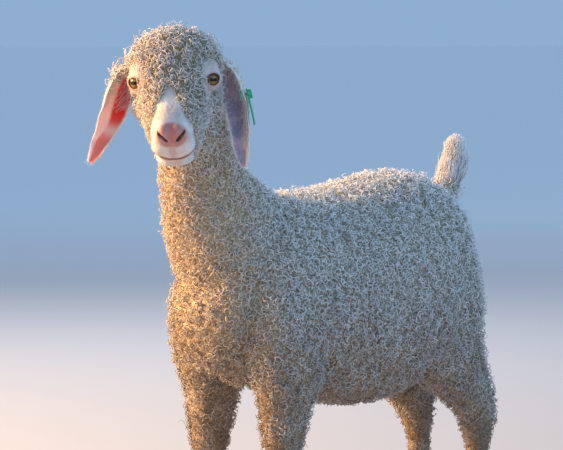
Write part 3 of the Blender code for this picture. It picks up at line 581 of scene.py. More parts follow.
# %% Ears
def ear_rings(rows, steps=5, across=22):
    """Rings round an ear, and for each point whether it is inside, its share across and its share along."""
    flat = []
    for middle, radius, curl, thick, face in rows:
        flat.append((*middle, radius, math.radians(curl), thick, math.radians(face)))
    table = smooth_rows(flat, steps)
    rings, insides, shares = [], [], []
    for i, row in enumerate(table):
        before, after = table[max(i - 1, 0)], table[min(i + 1, len(table) - 1)]
        along = Vector(after[:3] - before[:3]).normalized()
        radius, curl, thick, face = row[3:]
        facing = Matrix.Rotation(face, 3, "Z") @ Vector((0, -1, 0))
        facing = (facing - along * facing.dot(along)).normalized()
        side = along.cross(facing)
        middle = Vector(row[:3]) + facing * radius
        outer, inner = [], []
        for j in range(across):
            share = 2 * j / (across - 1) - 1
            out = side * math.sin(share * curl / 2) - facing * math.cos(share * curl / 2)
            depth = thick * (1 - 0.6 * share**4)
            ripple = 0.0006 * math.sin(i * 0.9 + share * 2.0) * abs(share) ** 2
            outer.append(middle + out * (radius + depth * 0.5 + ripple))
            inner.append(middle + out * (max(radius - depth * 0.5, radius * 0.12) + ripple))
            shares += [share]
        rings.append(outer + inner[::-1])
        insides += [0.0] * across + [1.0] * across
    shares = np.array(shares).reshape(len(rings), across)
    shares = np.hstack([shares, shares[:, ::-1]]).ravel()
    return rings, np.array(insides), shares, np.repeat(np.linspace(0, 1, len(rings)), 2 * across)


EAR_GRID, EAR_SMOOTHING = 0.0010, 3
ear_guides, ears = {}, []
for name, rows in (("ear_right", EAR_RIGHT), ("ear_left", EAR_LEFT)):
    leaf = loft(name, ear_rings(rows)[0])
    leaf.data.transform(LEVEL_FRAME)
    rings, *maps = ear_rings(rows, 14, 40)
    ear_guides[name] = [np.array([LEVEL_FRAME @ p for ring in rings for p in ring]), *maps]
    ears.append(fused(name, [leaf], EAR_GRID, EAR_SMOOTHING))
print("ears:", [len(ear.data.polygons) for ear in ears], "faces")

# %% [markdown]
# Head, ears and body now become one closed skin. The head runs into the neck well under the coat, so
# a plain Boolean union is enough there, and no seam shows.

# %% One skin
BODY_GRID, BODY_SMOOTHING = 0.0050, 12
skin = fused("skin", body_forms(0.0), BODY_GRID, BODY_SMOOTHING)
boolean(skin, [head] + ears, "UNION")
skin.data.shade_smooth()
print("skin:", len(skin.data.polygons), "faces")

# %% [markdown]
# ## Which hair grows where
#
# Curls cover the body, the poll, the forehead and the cheeks. The muzzle, the brows, the ears and the
# feet have short straight hair. Painting such a map by hand would work, but distances from the landmarks
# of the head and the heights of the legs give it on both sides at once, for any point.

# %% Maps over the skin
HEAD_CUT_BEHIND, HEAD_CUT_BELOW, HEAD_CUT_RISE = 0.030, 0.0625, math.radians(47)
NECK_CUT_PLACE, NECK_CUT_NORMAL = np.array((0.0, -0.058, 0.506)), np.array((0.0, -0.467, 0.884))
TO_HEAD = np.array(HEAD_FRAME.inverted())
AHEAD_LEVEL = np.array(LEVEL_FRAME.to_3x3() @ Vector((0, -1, 0)))


def soft_step(low, high, value):
    """0 below low, 1 above high, and smooth between them."""
    t = np.clip((np.asarray(value, float) - low) / (high - low), 0, 1)
    return t * t * (3 - 2 * t)


def in_head(points):
    """Points in the head's frame as across, ahead and up."""
    local = points @ TO_HEAD[:3, :3].T + TO_HEAD[:3, 3]
    return local * np.array((1, -1, 1))


def folded(points):
    """Points in the head's frame, those of its right half mirrored onto the left one."""
    local = in_head(points)
    return np.column_stack([np.abs(local[:, 0]), local[:, 1:]])


def line_distance(points, line):
    """Each point's distance to the nearest piece of a line."""
    best = np.full(len(points), 1e9)
    for a, b in zip(np.array(line[:-1]), np.array(line[1:])):
        way = b - a
        share = np.clip((points - a) @ way / (way @ way), 0, 1)
        best = np.minimum(best, np.linalg.norm(points - a - share[:, None] * way, axis=1))
    return best


def regions(points):
    """How much each point belongs to head, neck, tail, leg, shank and torso, each from 0 to 1."""
    x, y, z = points.T
    cut = np.array(EYES_MIDDLE) - AHEAD_LEVEL * HEAD_CUT_BEHIND - np.array((0, 0, HEAD_CUT_BELOW))
    normal = AHEAD_LEVEL * math.cos(HEAD_CUT_RISE) + np.array((0, 0, math.sin(HEAD_CUT_RISE)))
    head_part = soft_step(-0.008, 0.012, (points - cut) @ normal)
    neck_part = soft_step(-0.03, 0.03, (points - NECK_CUT_PLACE) @ NECK_CUT_NORMAL) * (1 - head_part)
    tail_part = soft_step(0.49, 0.505, z) * soft_step(0.180, 0.195, y)
    shank_part = 1 - soft_step(0.150, 0.195, z)
    leg_part = (1 - soft_step(0.22, 0.29, z)) * (1 - shank_part)
    torso_part = np.clip(1 - head_part - neck_part - tail_part - shank_part - leg_part, 0, 1)
    return {
        "head": head_part,
        "neck": neck_part * (1 - tail_part),
        "tail": tail_part,
        "leg": leg_part,
        "shank": shank_part,
        "torso": torso_part,
    }


def by_region(points, values):
    """A value that changes smoothly from region to region."""
    parts = regions(points)
    total = sum(parts.values())
    return sum(parts[name] * values[name] for name in values) / np.maximum(total, 1e-6)


# How far ahead of the eyes the forehead's curls end, how much further those beside the bridge do for their
# place across, up to where the lips begin, and how ragged that edge is
BARE_AHEAD, BARE_SPREAD, LIPS_AHEAD, BARE_RAGGED = 0.040, 1.70, 0.079, 0.010
# The bare bridge lies a little to the goat's right of the middle
BRIDGE_ASIDE = 0.0025


def wool_limit(local):
    """How far ahead curls grow at a place on the head."""
    limit = np.minimum(BARE_AHEAD + BARE_SPREAD * np.abs(local[:, 0] + BRIDGE_ASIDE), LIPS_AHEAD)
    return limit + 0.008 * soft_step(0.004, 0.024, local[:, 0])


def wool_map(points):
    """1 where curls grow and 0 on bare or short-haired places."""
    local, both = in_head(points), folded(points)
    limit = wool_limit(local) - 0.45 * np.maximum(0, -local[:, 2] - 0.050)
    limit += BARE_RAGGED * np.array([noise.noise(Vector(p * 90.0)) for p in points])
    face = 1 - soft_step(-0.010, 0.006, local[:, 1] - limit)
    brow = line_distance(both, [(0.042, 0.006, -0.002), (0.044, 0.000, 0.006), (0.042, -0.002, 0.010)])
    face *= soft_step(0.0138, 0.0190, brow)
    feet = soft_step(0.044, 0.068, points[:, 2])
    inside_head = regions(points)["head"]
    return (face * inside_head + (1 - inside_head)) * feet


def slit_place(both):
    """Where points lie round the left eye: 1 on the edge of the lids' opening, less inside it, and how far
    above its middle. The right eye is read through its mirror image."""
    to_eye = np.array((Matrix.Diagonal((1, -1, 1, 1)) @ eye_frame(1)).inverted())
    local = both @ to_eye[:3, :3].T + to_eye[:3, 3]
    edge = np.hypot(local[:, 0] / LID_OPENING[0], local[:, 2] / LID_OPENING[2])
    return np.where(local[:, 1] > 0, edge, 9.0), local[:, 2]


def pink_map(points):
    """Where pink skin shows: nose, nostril rims, lips, the rims of the lids."""
    both = folded(points)
    nose = np.linalg.norm((both - (0.0, 0.0965, -0.0070)) / (0.0208, 0.019, 0.0175), axis=1)
    pink = 1 - soft_step(0.80, 1.15, nose)
    lips = line_distance(both, face_lines["mouth"])
    pink = np.maximum(pink, 0.75 * (1 - soft_step(0.0016, 0.0045, lips)))
    split = line_distance(both, [(0, 0.0985, -0.022), (0, 0.0975, -0.043)])
    pink = np.maximum(pink, 0.45 * (1 - soft_step(0.001, 0.008, split)))
    eye = np.linalg.norm(both - np.array(EYE), axis=1)
    pink = np.maximum(pink, 0.25 * (1 - soft_step(0.018, 0.030, eye)))
    return np.maximum(pink, 0.60 * (1 - soft_step(1.25, 1.80, slit_place(both)[0])))


def fold_shade_map(points):
    """Painted shade in the folds and holes: the nostrils, the mouth line and where the lids meet the eye.
    """
    both = folded(points)
    comma = [(x, ahead - 0.0016, up) for x, ahead, up in face_lines["nostril"]]
    dark = 1 - soft_step(0.0012, 0.0032, line_distance(both, comma))
    mouth = [(x * 0.97, ahead - 0.0012, up) for x, ahead, up in face_lines["mouth"]]
    dark = np.maximum(dark, 0.8 * (1 - soft_step(0.0007, 0.0021, line_distance(both, mouth))))
    edge, rise = slit_place(both)
    wide = 1.02 + 0.24 * soft_step(-0.001, 0.005, rise)
    lid = (0.45 + 0.50 * soft_step(-0.004, 0.003, rise)) * (1 - soft_step(wide - 0.06, wide + 0.10, edge))
    return np.maximum(dark, lid)


def ear_maps(points):
    """For points on an ear, from the nearest guide point: inside or not, share across with the outer rim
    at 1, share along, and 1 on the right ear."""
    inside, across, along, right = (np.zeros(len(points)) for _ in range(4))
    for name, (guide, insides, shares, lengths) in ear_guides.items():
        outward = 1 if name == "ear_right" else -1
        tree = KDTree(len(guide))
        for i, point in enumerate(guide):
            tree.insert(point, i)
        tree.balance()
        low, high = guide.min(0) - 0.004, guide.max(0) + 0.004
        for k in np.flatnonzero(((points > low) & (points < high)).all(1)):
            _, i, distance = tree.find(points[k])
            if distance < 0.004:
                inside[k], across[k] = insides[i], shares[i] * outward
                along[k], right[k] = max(lengths[i], 0.001), outward > 0
    return inside, across, along, right


def add_map(obj, name, values):
    layer = obj.data.attributes.new(name, "FLOAT", "POINT")
    layer.data.foreach_set("value", np.asarray(values, np.float32))


skin_points = points_of(skin)[0]
ear_inside, ear_across, ear_along, ear_right_side = ear_maps(skin_points)
on_ear = ear_along > 0
# The hollow of the ear, painted red on the right ear as light glowing through it and lilac on the left as
# shade: hair covers both rims and the root
outer_edge = np.where(ear_right_side > 0.5, -0.10 + 0.60 * soft_step(0.60, 0.80, ear_along), 0.32)
hollow = ear_inside * (1 - soft_step(-0.08, 0.14, ear_across - outer_edge))
hollow = hollow * soft_step(-0.98, -0.80, ear_across) * soft_step(0.16, 0.26, ear_along)
twist = np.exp(-(((ear_along - 0.66) / 0.05) ** 2)) * (ear_right_side > 0.5)
hollow *= 1 - 0.75 * twist
skin_wool = wool_map(skin_points) * ~on_ear
add_map(skin, "wool", skin_wool)
add_map(skin, "pink", pink_map(skin_points) * ~on_ear)
add_map(skin, "dark", fold_shade_map(skin_points) * ~on_ear)
add_map(skin, "hollow", hollow)
add_map(skin, "ear_along", ear_along)
add_map(skin, "ear_right", ear_right_side)
print("woolly share of the skin's points:", round(float(skin_wool.mean()), 2))

# %% [markdown]
# ## The felt under the curls
#
# Parted with the fingers, mohair is a dense felt near the skin and free curls only outside. The felt is
# the grown body, lumpy and closed, and it hides the skin between the curls. A displacement texture could
# lump it, but moving the points in code keeps the lumps in the mesh.

# %% Felt
FELT_GRID, FELT_SMOOTHING, LUMP = 0.0042, 16, 0.0016
felt = fused("fleece_felt", body_forms(FELT_SHARE) + head_forms(), FELT_GRID, FELT_SMOOTHING)
felt_points, felt_normals = points_of(felt)
# The head's forms weren't grown, so only there the felt is lifted
lift = by_region(felt_points, dict.fromkeys(COAT, 0.0) | {"head": 0.0030})
lumps = np.array([noise.noise(Vector(p * 130.0)) for p in felt_points]) * LUMP
# Where the curls grow sparse the felt is already under the skin
covered = soft_step(0.55, 1.0, wool_map(felt_points))
foot_share = 1 - soft_step(0.042, 0.070, felt_points[:, 2])
sink = 0.0050 * (1 - covered) + COAT["leg"] * FELT_SHARE * foot_share
set_points(felt, felt_points + felt_normals * ((lift + lumps) * covered - sink)[:, None])
felt.data.shade_smooth()
print("felt:", len(felt.data.polygons), "faces")

# %% [markdown]
# Each curl gets a patch of its own on a picture, so that the coat's colours can be baked. The felt is
# unwrapped once with Smart UV Project, and each curl's patch lies at its root's place there.

# %% The unwrap that the coat shares
def unwrap(obj):
    """A UV map named OFBake over the whole of a mesh."""
    bpy.ops.object.select_all(action="DESELECT")
    bpy.context.view_layer.objects.active = obj
    obj.select_set(True)
    obj.data.uv_layers.new(name="OFBake")
    bpy.ops.object.mode_set(mode="EDIT")
    bpy.ops.mesh.select_all(action="SELECT")
    bpy.ops.uv.smart_project(angle_limit=math.radians(66), island_margin=0.002)
    bpy.ops.object.mode_set(mode="OBJECT")


def triangles_of(obj):
    """The triangles' points, point normals and places on the unwrap, and their points' numbers. Each
    table has a row a triangle with three entries in it."""
    mesh = obj.data
    mesh.calc_loop_triangles()
    loops, numbers = (np.empty(len(mesh.loop_triangles) * 3, np.int32) for _ in range(2))
    mesh.loop_triangles.foreach_get("loops", loops)
    mesh.loop_triangles.foreach_get("vertices", numbers)
    uv = np.empty(len(mesh.loops) * 2, np.float32)
    mesh.uv_layers["OFBake"].data.foreach_get("uv", uv)
    points, normals = points_of(obj)
    numbers = numbers.reshape(-1, 3)
    return points[numbers], normals[numbers], uv.reshape(-1, 2)[loops.reshape(-1, 3)], numbers


unwrap(felt)
unwrap(skin)
felt_triangles, skin_triangles = triangles_of(felt), triangles_of(skin)
print("unwrap spans", felt_triangles[2].min((0, 1)), skin_triangles[2].max((0, 1)))

# %% [markdown]
# ## Where the curls stand
#
# Roots scattered at random would clump and leave bald gaps. Each new root is kept only where no other is
# nearer than the spacing of its region, which is how a real coat is spread: even, but in no pattern.

# %% Roots
SPACING = {"head": 0.0034, "neck": 0.0043, "tail": 0.0015, "leg": 0.0046, "shank": 0.0038, "torso": 0.0048}


def scatter(triangles, spacing, keep, draw, fill):
    """Roots spread evenly over triangles: place, outward normal, place on the unwrap and triangle number.
    spacing and keep have one value a triangle. fill is how many tries there are for each root's room."""
    points, normals, uv, _ = triangles
    size = np.linalg.norm(np.cross(points[:, 1] - points[:, 0], points[:, 2] - points[:, 0]), axis=1) / 2
    weight = size * keep / spacing**2
    tries = int(weight.sum() * fill)
    picks = draw.choice(len(points), tries, p=weight / weight.sum())
    u, v = draw.random(tries), draw.random(tries)
    flip = u + v > 1
    u[flip], v[flip] = 1 - u[flip], 1 - v[flip]
    corners = np.stack([1 - u - v, u, v], 1)[:, :, None]
    places = (points[picks] * corners).sum(1)
    gaps = spacing[picks]
    cell = float(gaps.max())
    grid, kept = {}, []
    cells = np.floor(places / cell).astype(int)
    for i, (key, place, gap) in enumerate(zip(map(tuple, cells), places, gaps)):
        around = itertools.product(*((k - 1, k, k + 1) for k in key))
        others = (j for near in around for j in grid.get(near, ()))
        if not any((way := places[j] - place) @ way < (0.5 * (gap + gaps[j])) ** 2 for j in others):
            grid.setdefault(key, []).append(i)
            kept.append(i)
    kept = np.array(kept)
    out_normals = (normals[picks][kept] * corners[kept]).sum(1)
    out_normals /= np.linalg.norm(out_normals, axis=1)[:, None]
    return places[kept], out_normals, (uv[picks][kept] * corners[kept]).sum(1), picks[kept]


def fullness(points):
    """How grown the curls are: whole on the poll and body, less and less down the forehead and cheeks."""
    local = in_head(points)
    small = 0.48 + 0.52 * soft_step(0.0, 0.045, wool_limit(local) - local[:, 1])
    return 1 - regions(points)["head"] * (1 - small)


felt_middles = felt_triangles[0].mean(1)
felt_spacing = by_region(felt_middles, SPACING) * (0.35 + 0.65 * fullness(felt_middles))
fill = 3.2
woolly = MAKER.random(len(felt_middles)) < wool_map(felt_middles) * 1.3
roots, root_normals, root_uv, _ = scatter(felt_triangles, felt_spacing, woolly, MAKER, fill)
print("curls:", len(roots))

# %% [markdown]
# ## Making hair as a mesh
#
# Blender's hair curves would be lighter, but they don't survive an export as a plain mesh. Each lock is
# a thin three-sided tube swept along its line. All locks of a piece are computed together as tables,
# which is hundreds of times faster than making them one by one.

# %% Locks as tubes
SIDES = 3
ROUND = math.tau * np.arange(SIDES) / SIDES


def unit(vectors):
    return vectors / np.maximum(np.linalg.norm(vectors, axis=-1, keepdims=True), 1e-12)


def swept(lines, radii):
    """Rings of points round many lines at once. lines is (locks, steps, 3) and radii (locks, steps)."""
    tangents = unit(np.gradient(lines, axis=1))
    side = unit(np.cross(tangents[:, 0], (0.37, 0.61, 0.70)))
    rings = np.empty((*lines.shape[:2], SIDES, 3))
    for step in range(lines.shape[1]):
        tangent = tangents[:, step]
        side = unit(side - (side * tangent).sum(1, keepdims=True) * tangent)
        third = np.cross(tangent, side)
        out = side[:, None] * np.cos(ROUND)[:, None] + third[:, None] * np.sin(ROUND)[:, None]
        rings[:, step] = lines[:, step, None] + out * radii[:, step, None, None]
    return rings


def lock_faces(steps):
    """One lock's faces end to end: their points' numbers, the corners' places on its patch of the
    unwrap, and how many corners each face has."""
    faces, patches = [], []
    for step in range(steps - 1):
        for j in range(SIDES):
            k = (j + 1) % SIDES
            a, b = step * SIDES, (step + 1) * SIDES
            faces.append((a + j, a + k, b + k, b + j))
            low, high, left, right = step / steps, (step + 1) / steps, j / SIDES, (j + 1) / SIDES
            patches.append(((left, low), (right, low), (right, high), (left, high)))
    last, low = (steps - 1) * SIDES, 1 - 1 / steps
    for j in range(SIDES):
        faces.append((last + j, last + (j + 1) % SIDES, steps * SIDES))
        patches.append(((j / SIDES, low), ((j + 1) / SIDES, low), ((j + 0.5) / SIDES, 1)))
    faces.append(tuple(range(SIDES))[::-1])
    patches.append(tuple((j / SIDES, 0.0) for j in faces[-1]))
    sizes = np.array([len(face) for face in faces])
    return np.concatenate(faces), np.concatenate(patches), sizes


print("one lock of 12 steps has", len(lock_faces(12)[2]), "faces")

# %% [markdown]
# Each lock also carries two numbers for its paint, how far along it a point is and a tone of its own,
# and a third map that runs round and along it, so that a texture on it looks like fibres.

# %% Meshes of many locks
# The side of a lock's patch, as a share of the whole unwrap
PATCH = 0.003
# How much of the fibre map a metre of lock runs through, and how far apart its two extreme tones lie there
FIBRE_LENGTH, FIBRE_APART = 60, 40


def lock_mesh(name, lines, radii, uv, tones):
    """One mesh of closed locks, each with a small patch of the coat's unwrap of its own."""
    locks, steps = lines.shape[:2]
    rings = swept(lines, radii)
    tips = lines[:, -1] + unit(lines[:, -1] - lines[:, -2]) * radii[:, -1, None] * 2.0
    points = np.concatenate([rings.reshape(locks, -1, 3), tips[:, None]], 1)
    per_lock = steps * SIDES + 1
    flat, flat_uv, sizes = lock_faces(steps)
    corners = (flat[None] + (np.arange(locks) * per_lock)[:, None]).ravel()
    totals = np.tile(sizes, locks)
    mesh = bpy.data.meshes.new(name)
    mesh.vertices.add(locks * per_lock)
    mesh.loops.add(len(corners))
    mesh.polygons.add(len(totals))
    mesh.vertices.foreach_set("co", points.astype(np.float32).ravel())
    mesh.loops.foreach_set("vertex_index", corners.astype(np.int32))
    starts = np.concatenate([[0], np.cumsum(totals)[:-1]])
    mesh.polygons.foreach_set("loop_start", starts.astype(np.int32))
    mesh.update(calc_edges=True)
    layer = mesh.uv_layers.new(name="OFBake")
    places = np.clip(uv[:, None] + (flat_uv[None] - 0.5) * PATCH, 0, 1)
    layer.data.foreach_set("uv", places.astype(np.float32).ravel())
    along = np.concatenate([np.repeat(np.linspace(0, 1, steps), SIDES), [1.0]])
    turn = np.concatenate([np.tile(ROUND, steps), [0.0]])
    length = np.linalg.norm(np.diff(lines, axis=1), axis=2).sum(1)
    fibre = np.empty((locks, per_lock, 3))
    fibre[..., 0], fibre[..., 1] = np.cos(turn), np.sin(turn)
    fibre[..., 2] = along[None] * length[:, None] * FIBRE_LENGTH
    fibre += tones[:, None, None] * FIBRE_APART
    obj = bpy.data.objects.new(name, mesh)
    bpy.context.scene.collection.objects.link(obj)
    add_map(obj, "along", np.tile(along, locks))
    add_map(obj, "tone", np.repeat(tones, per_lock))
    vector = mesh.attributes.new("fibre", "FLOAT_VECTOR", "POINT")
    vector.data.foreach_set("vector", fibre.astype(np.float32).ravel())
    mesh.shade_smooth()
    return obj


TRIANGLES_A_PIECE = 190000


def lock_pieces(name, lines, radii, uv, tones):
    """The locks as one or more meshes, each small enough to export."""
    triangles = (lines.shape[1] - 1) * SIDES * 2 + SIDES + SIDES - 2
    count = max(1, math.ceil(len(lines) * triangles / TRIANGLES_A_PIECE))
    out = []
    for i, part in enumerate(np.array_split(np.arange(len(lines)), count)):
        title = name if count == 1 else f"{name}_{i + 1}"
        out.append(lock_mesh(title, lines[part], radii[part], uv[part], tones[part]))
    return out


test_line = np.zeros((1, 4, 3)) + np.arange(4)[None, :, None]
print("a test lock has", len(swept(test_line, np.ones((1, 4)))[0]), "rings")

# %% [markdown]
# ## The curls
#
# A mohair lock leaves the skin, leans over with the lie of the coat and winds up like a spring, so from
# outside one sees hooks and rings 4 to 7 mm across. Each lock here is such a spring with its own hand,
# lean and number of turns. The rings are widest on the poll, and the locks are longest on the trunk.

# %% Springs of hair
REGIONS = ("head", "neck", "tail", "leg", "shank", "torso")
CURL_RADIUS = dict(zip(REGIONS, (0.0034, 0.0027, 0.0020, 0.0025, 0.0018, 0.0026)))
FREE_DEPTH = dict(zip(REGIONS, (0.0090, 0.0115, 0.0080, 0.0085, 0.0045, 0.0140)))
LOCK_LENGTH = dict(zip(REGIONS, (0.0150, 0.0170, 0.0150, 0.0150, 0.0085, 0.0190)))
# A real ringlet is a bundle of fine fibres, and one tube as thick as the bundle stands for it
STRAND_RADIUS = dict(zip(REGIONS, (0.00070, 0.00080, 0.0007, 0.00078, 0.00055, 0.00083)))
# One wave or ring of the lock for each of these lengths
CRIMP = dict(zip(REGIONS, (0.0092, 0.0106, 0.0100, 0.0096, 0.0060, 0.0110)))
CURL_STEPS, HEAD_CURL_STEPS = 12, 16


def lie_of(normals, draw, wander=0.8, fall=0.5):
    """A direction along the surface for each root: mostly its own, and partly down."""
    down = np.array((0, 0, -1.0)) - normals * (-normals[:, 2:3])
    free = unit(np.cross(normals, draw.normal(size=normals.shape)))
    return unit(free * wander + down * fall)


def springs(points, normals, draw, steps, size=1.0, stand=(0.45, 1.0)):
    """Lines and radii of one curled lock on each root. stand is how much of the coat's depth they reach."""
    count = len(points)
    lie = lie_of(normals, draw)
    size = size * fullness(points)
    radius = by_region(points, CURL_RADIUS) * draw.uniform(0.75, 1.25, count) * size
    length = by_region(points, LOCK_LENGTH) * draw.uniform(0.80, 1.15, count) * size
    depth = by_region(points, FREE_DEPTH) * draw.uniform(*stand, count) * size
    lean = np.arccos(np.clip((depth - 0.3 * radius) / length, 0.15, 0.95))[:, None]
    axis = unit(normals * np.cos(lean) + lie * np.sin(lean))
    side = unit(lie - axis * (lie * axis).sum(1, keepdims=True))
    other = np.cross(axis, side) * np.where(draw.random(count) < 0.5, -1, 1)[:, None]
    turns = length / (by_region(points, CRIMP) * size) * draw.uniform(0.85, 1.15, count)
    share = np.linspace(0, 1, steps)[None]
    angle = draw.uniform(0, math.tau, count)[:, None] + math.tau * turns[:, None] * share**1.15
    wide = radius[:, None] * np.minimum(1, 0.25 + share * 2.2)
    wide = wide * (1 - 0.30 * np.maximum(0, share - 0.6) / 0.4)
    # The tip turns over and lies flatter than the rest of the lock
    bend = (axis - normals * 0.35)[:, None] * (share**2)[..., None] * 0.25
    bend = bend + axis[:, None] * (1 - 0.25 * share**2)[..., None]
    # The lines start 2 mm under the surface, so that no lock floats on it
    lines = points[:, None] + bend * (length[:, None] * share - 0.0020)[..., None]
    round_axis = side[:, None] * np.cos(angle)[..., None] + other[:, None] * np.sin(angle)[..., None]
    lines += round_axis * wide[..., None]
    thick = by_region(points, STRAND_RADIUS) * draw.uniform(0.80, 1.15, count) * np.sqrt(size)
    return lines, thick[:, None] * (1 - 0.55 * share**2)


# Above this height the tail has waved hair in the place of curls
TAIL_HAIR_ABOVE = 0.500
shares = regions(roots)
home = np.array(REGIONS)[np.argmax([shares[name] for name in REGIONS], axis=0)]
fleece = []
for name in REGIONS:
    here = (home == name) & ~((name == "tail") & (roots[:, 2] > TAIL_HAIR_ABOVE))
    if here.any():
        steps = HEAD_CURL_STEPS if name == "head" else CURL_STEPS
        lines, radii = springs(roots[here], root_normals[here], MAKER, steps)
        fleece += lock_pieces("curls_" + name, lines, radii, root_uv[here], MAKER.random(here.sum()))
    print(name, "curls:", here.sum())

# %% [markdown]
# A few locks always stand out of the coat: on the crown, along the back and down the neck. They are the
# same springs, only longer, and they break up the outline.

# %% Stray locks
STRAY_SHARE = dict(zip(REGIONS, (0.08, 0.02, 0.0, 0.005, 0.0, 0.012)))
stray = MAKER.random(len(roots)) < by_region(roots, STRAY_SHARE)
stray &= (root_normals[:, 2] > -0.2) & (fullness(roots) > 0.8)
stray_size = MAKER.uniform(1.0, 1.6, int(stray.sum()))
lines, radii = springs(
    roots[stray], root_normals[stray], MAKER, HEAD_CURL_STEPS, stray_size, stand=(1.0, 1.5))
fleece += lock_pieces("curls_stray", lines, radii * 0.6, root_uv[stray], MAKER.random(stray.sum()))
print("stray locks:", stray.sum())

# %% [markdown]
# Curls also cover the roots of the ears and the upper part of their backs, with a long tuft over the
# right ear.

# %% Curls on the ears
# How far apart they stand, and how much of each ear's length they cover
EAR_CURL_GAP, RIGHT_REACH, LEFT_REACH = 0.0042, 0.30, 0.42
skin_numbers = skin_triangles[3]
triangle_along, triangle_across, triangle_hollow, triangle_inside, right_share = (
    values[skin_numbers].mean(1) for values in (ear_along, ear_across, hollow, ear_inside, ear_right_side))
triangle_inside, triangle_right = triangle_inside > 0.5, right_share > 0.5
reach = np.where(triangle_right, RIGHT_REACH, LEFT_REACH)
woolly_ear = (triangle_along > 0.001) & (triangle_along < reach) & (triangle_hollow < 0.1)
woolly_ear &= ~((triangle_across < 0.2) & triangle_inside & (triangle_along > 0.12))
gaps = np.full(len(skin_numbers), EAR_CURL_GAP)
ear_roots, ear_normals, ear_uv, picked = scatter(skin_triangles, gaps, woolly_ear, MAKER, fill)
tuft = triangle_right[picked] & (triangle_along[picked] > 0.05) & (triangle_across[picked] > -0.2)
ear_size = np.where(tuft, MAKER.uniform(0.9, 1.7, len(picked)), 0.85)
ear_size = ear_size * (1 - 0.45 * soft_step(0.2, 0.34, triangle_along[picked]))
lines, radii = springs(ear_roots, ear_normals, MAKER, HEAD_CURL_STEPS, ear_size)
fleece += lock_pieces("curls_ears", lines, radii, ear_uv, MAKER.random(len(ear_roots)))
print("curls on the ears:", len(ear_roots))

# %% [markdown]
# The tail's hair is fine and only waved. It lies along the tail and ends just past its tip.

# %% Tail hair
TAIL_HAIR_LENGTH, TAIL_HAIR_LIFT, TAIL_HAIR_WAVE, TAIL_HAIR_RADIUS = (0.014, 0.024), 0.0065, 0.0007, 0.00042
on_tail = (home == "tail") & (roots[:, 2] > TAIL_HAIR_ABOVE)
tail_roots, tail_normals = roots[on_tail], root_normals[on_tail]
up = np.array((0.0, 0.10, 1.0))
along_tail = unit(up - tail_normals * (tail_normals @ up)[:, None])
along_tail = unit(along_tail + MAKER.normal(0, 0.10, along_tail.shape))
count = int(on_tail.sum())
length = MAKER.uniform(*TAIL_HAIR_LENGTH, count) * (1 - 0.60 * soft_step(0.535, 0.565, tail_roots[:, 2]))
share = np.linspace(0, 1, 8)[None]
wave = np.sin(MAKER.uniform(0, math.tau, count)[:, None] + share * 6.0) * TAIL_HAIR_WAVE
aside = np.cross(tail_normals, along_tail)
lift = TAIL_HAIR_LIFT * np.sin(share * 2.0) * MAKER.uniform(0.5, 1.1, (count, 1))
lines = tail_roots[:, None] + along_tail[:, None] * (length[:, None] * share)[..., None]
lines = lines + tail_normals[:, None] * lift[..., None]
lines += aside[:, None] * (wave * (0.3 + share))[..., None]
radii = np.full((count, 1), TAIL_HAIR_RADIUS) * (1 - 0.7 * share**2)
tail_hair = lock_pieces("hair_tail", lines, radii, root_uv[on_tail], MAKER.random(count))
print("tail hairs:", count)

# %% [markdown]
# ## Short hair
#
# The face, the ears and the feet have flat white hair a few millimetres long. Most of it is only grain
# in the skin's material, but enough thin tufts stand on it to soften every edge.

# %% Short hair
# Real hairs are much finer and closer, and each of these tubes stands for a tuft of them
FUR_LENGTH, FUR_RADIUS, FUR_STEPS = 0.0060, 0.00021, 3


def fur_lines(points, normals, lie, length, flatness, draw, steps=FUR_STEPS, curve=0.5):
    """Nearly straight hairs that lie over the skin. flatness is 0 for standing and 1 for lying."""
    lie = unit(lie - normals * (lie * normals).sum(1, keepdims=True) + draw.normal(0, 0.22, points.shape))
    share = np.linspace(0, 1, steps)[None]
    rise = (1 - flatness) * np.sin(share * math.pi * curve)
    lines = points[:, None] + lie[:, None] * (length[:, None] * share * flatness)[..., None]
    return lines + normals[:, None] * (length[:, None] * rise - 0.0004)[..., None]


# How far apart the hairs stand, and the heights between which a foot has them
FOOT_GAP, EAR_GAP, HOLLOW_GAP, FACE_GAP = 0.0024, 0.0018, 0.0026, 0.00125
FOOT_LOW, FOOT_HIGH = 0.034, 0.078
skin_middles = skin_triangles[0].mean(1)
ear_here = triangle_along > 0
bare_face = (wool_map(skin_middles) < 0.6) & (regions(skin_middles)["head"] > 0.5) & ~ear_here
bare_face &= pink_map(skin_middles) < 0.45
short_ear = ear_here & ((triangle_hollow < 0.75) | ~triangle_right) & (triangle_along > 0.15)
foot = (skin_middles[:, 2] < FOOT_HIGH) & (skin_middles[:, 2] > FOOT_LOW)
fur_here = bare_face | short_ear | foot
fur_spacing = np.where(ear_here, np.where(triangle_hollow < 0.5, EAR_GAP, HOLLOW_GAP), FACE_GAP)
fur_spacing = np.where(foot, FOOT_GAP, fur_spacing)
fur_roots, fur_normals, fur_uv, picked = scatter(skin_triangles, fur_spacing, fur_here, MAKER, fill)
fur_local = in_head(fur_roots)
back = np.array(HEAD_FRAME.to_3x3() @ Vector((0, 1, 0)))
outward = np.array(HEAD_FRAME.to_3x3() @ Vector((1, 0, 0)))
down = np.array((0, 0, -1.0))
lie = back * 1.0 + np.sign(fur_local[:, :1]) * outward * 0.35 + down * 0.25
lie = np.where(ear_here[picked][:, None], down + np.sign(fur_local[:, :1]) * outward * 0.25, lie)
lie = np.where(foot[picked][:, None], down, lie)
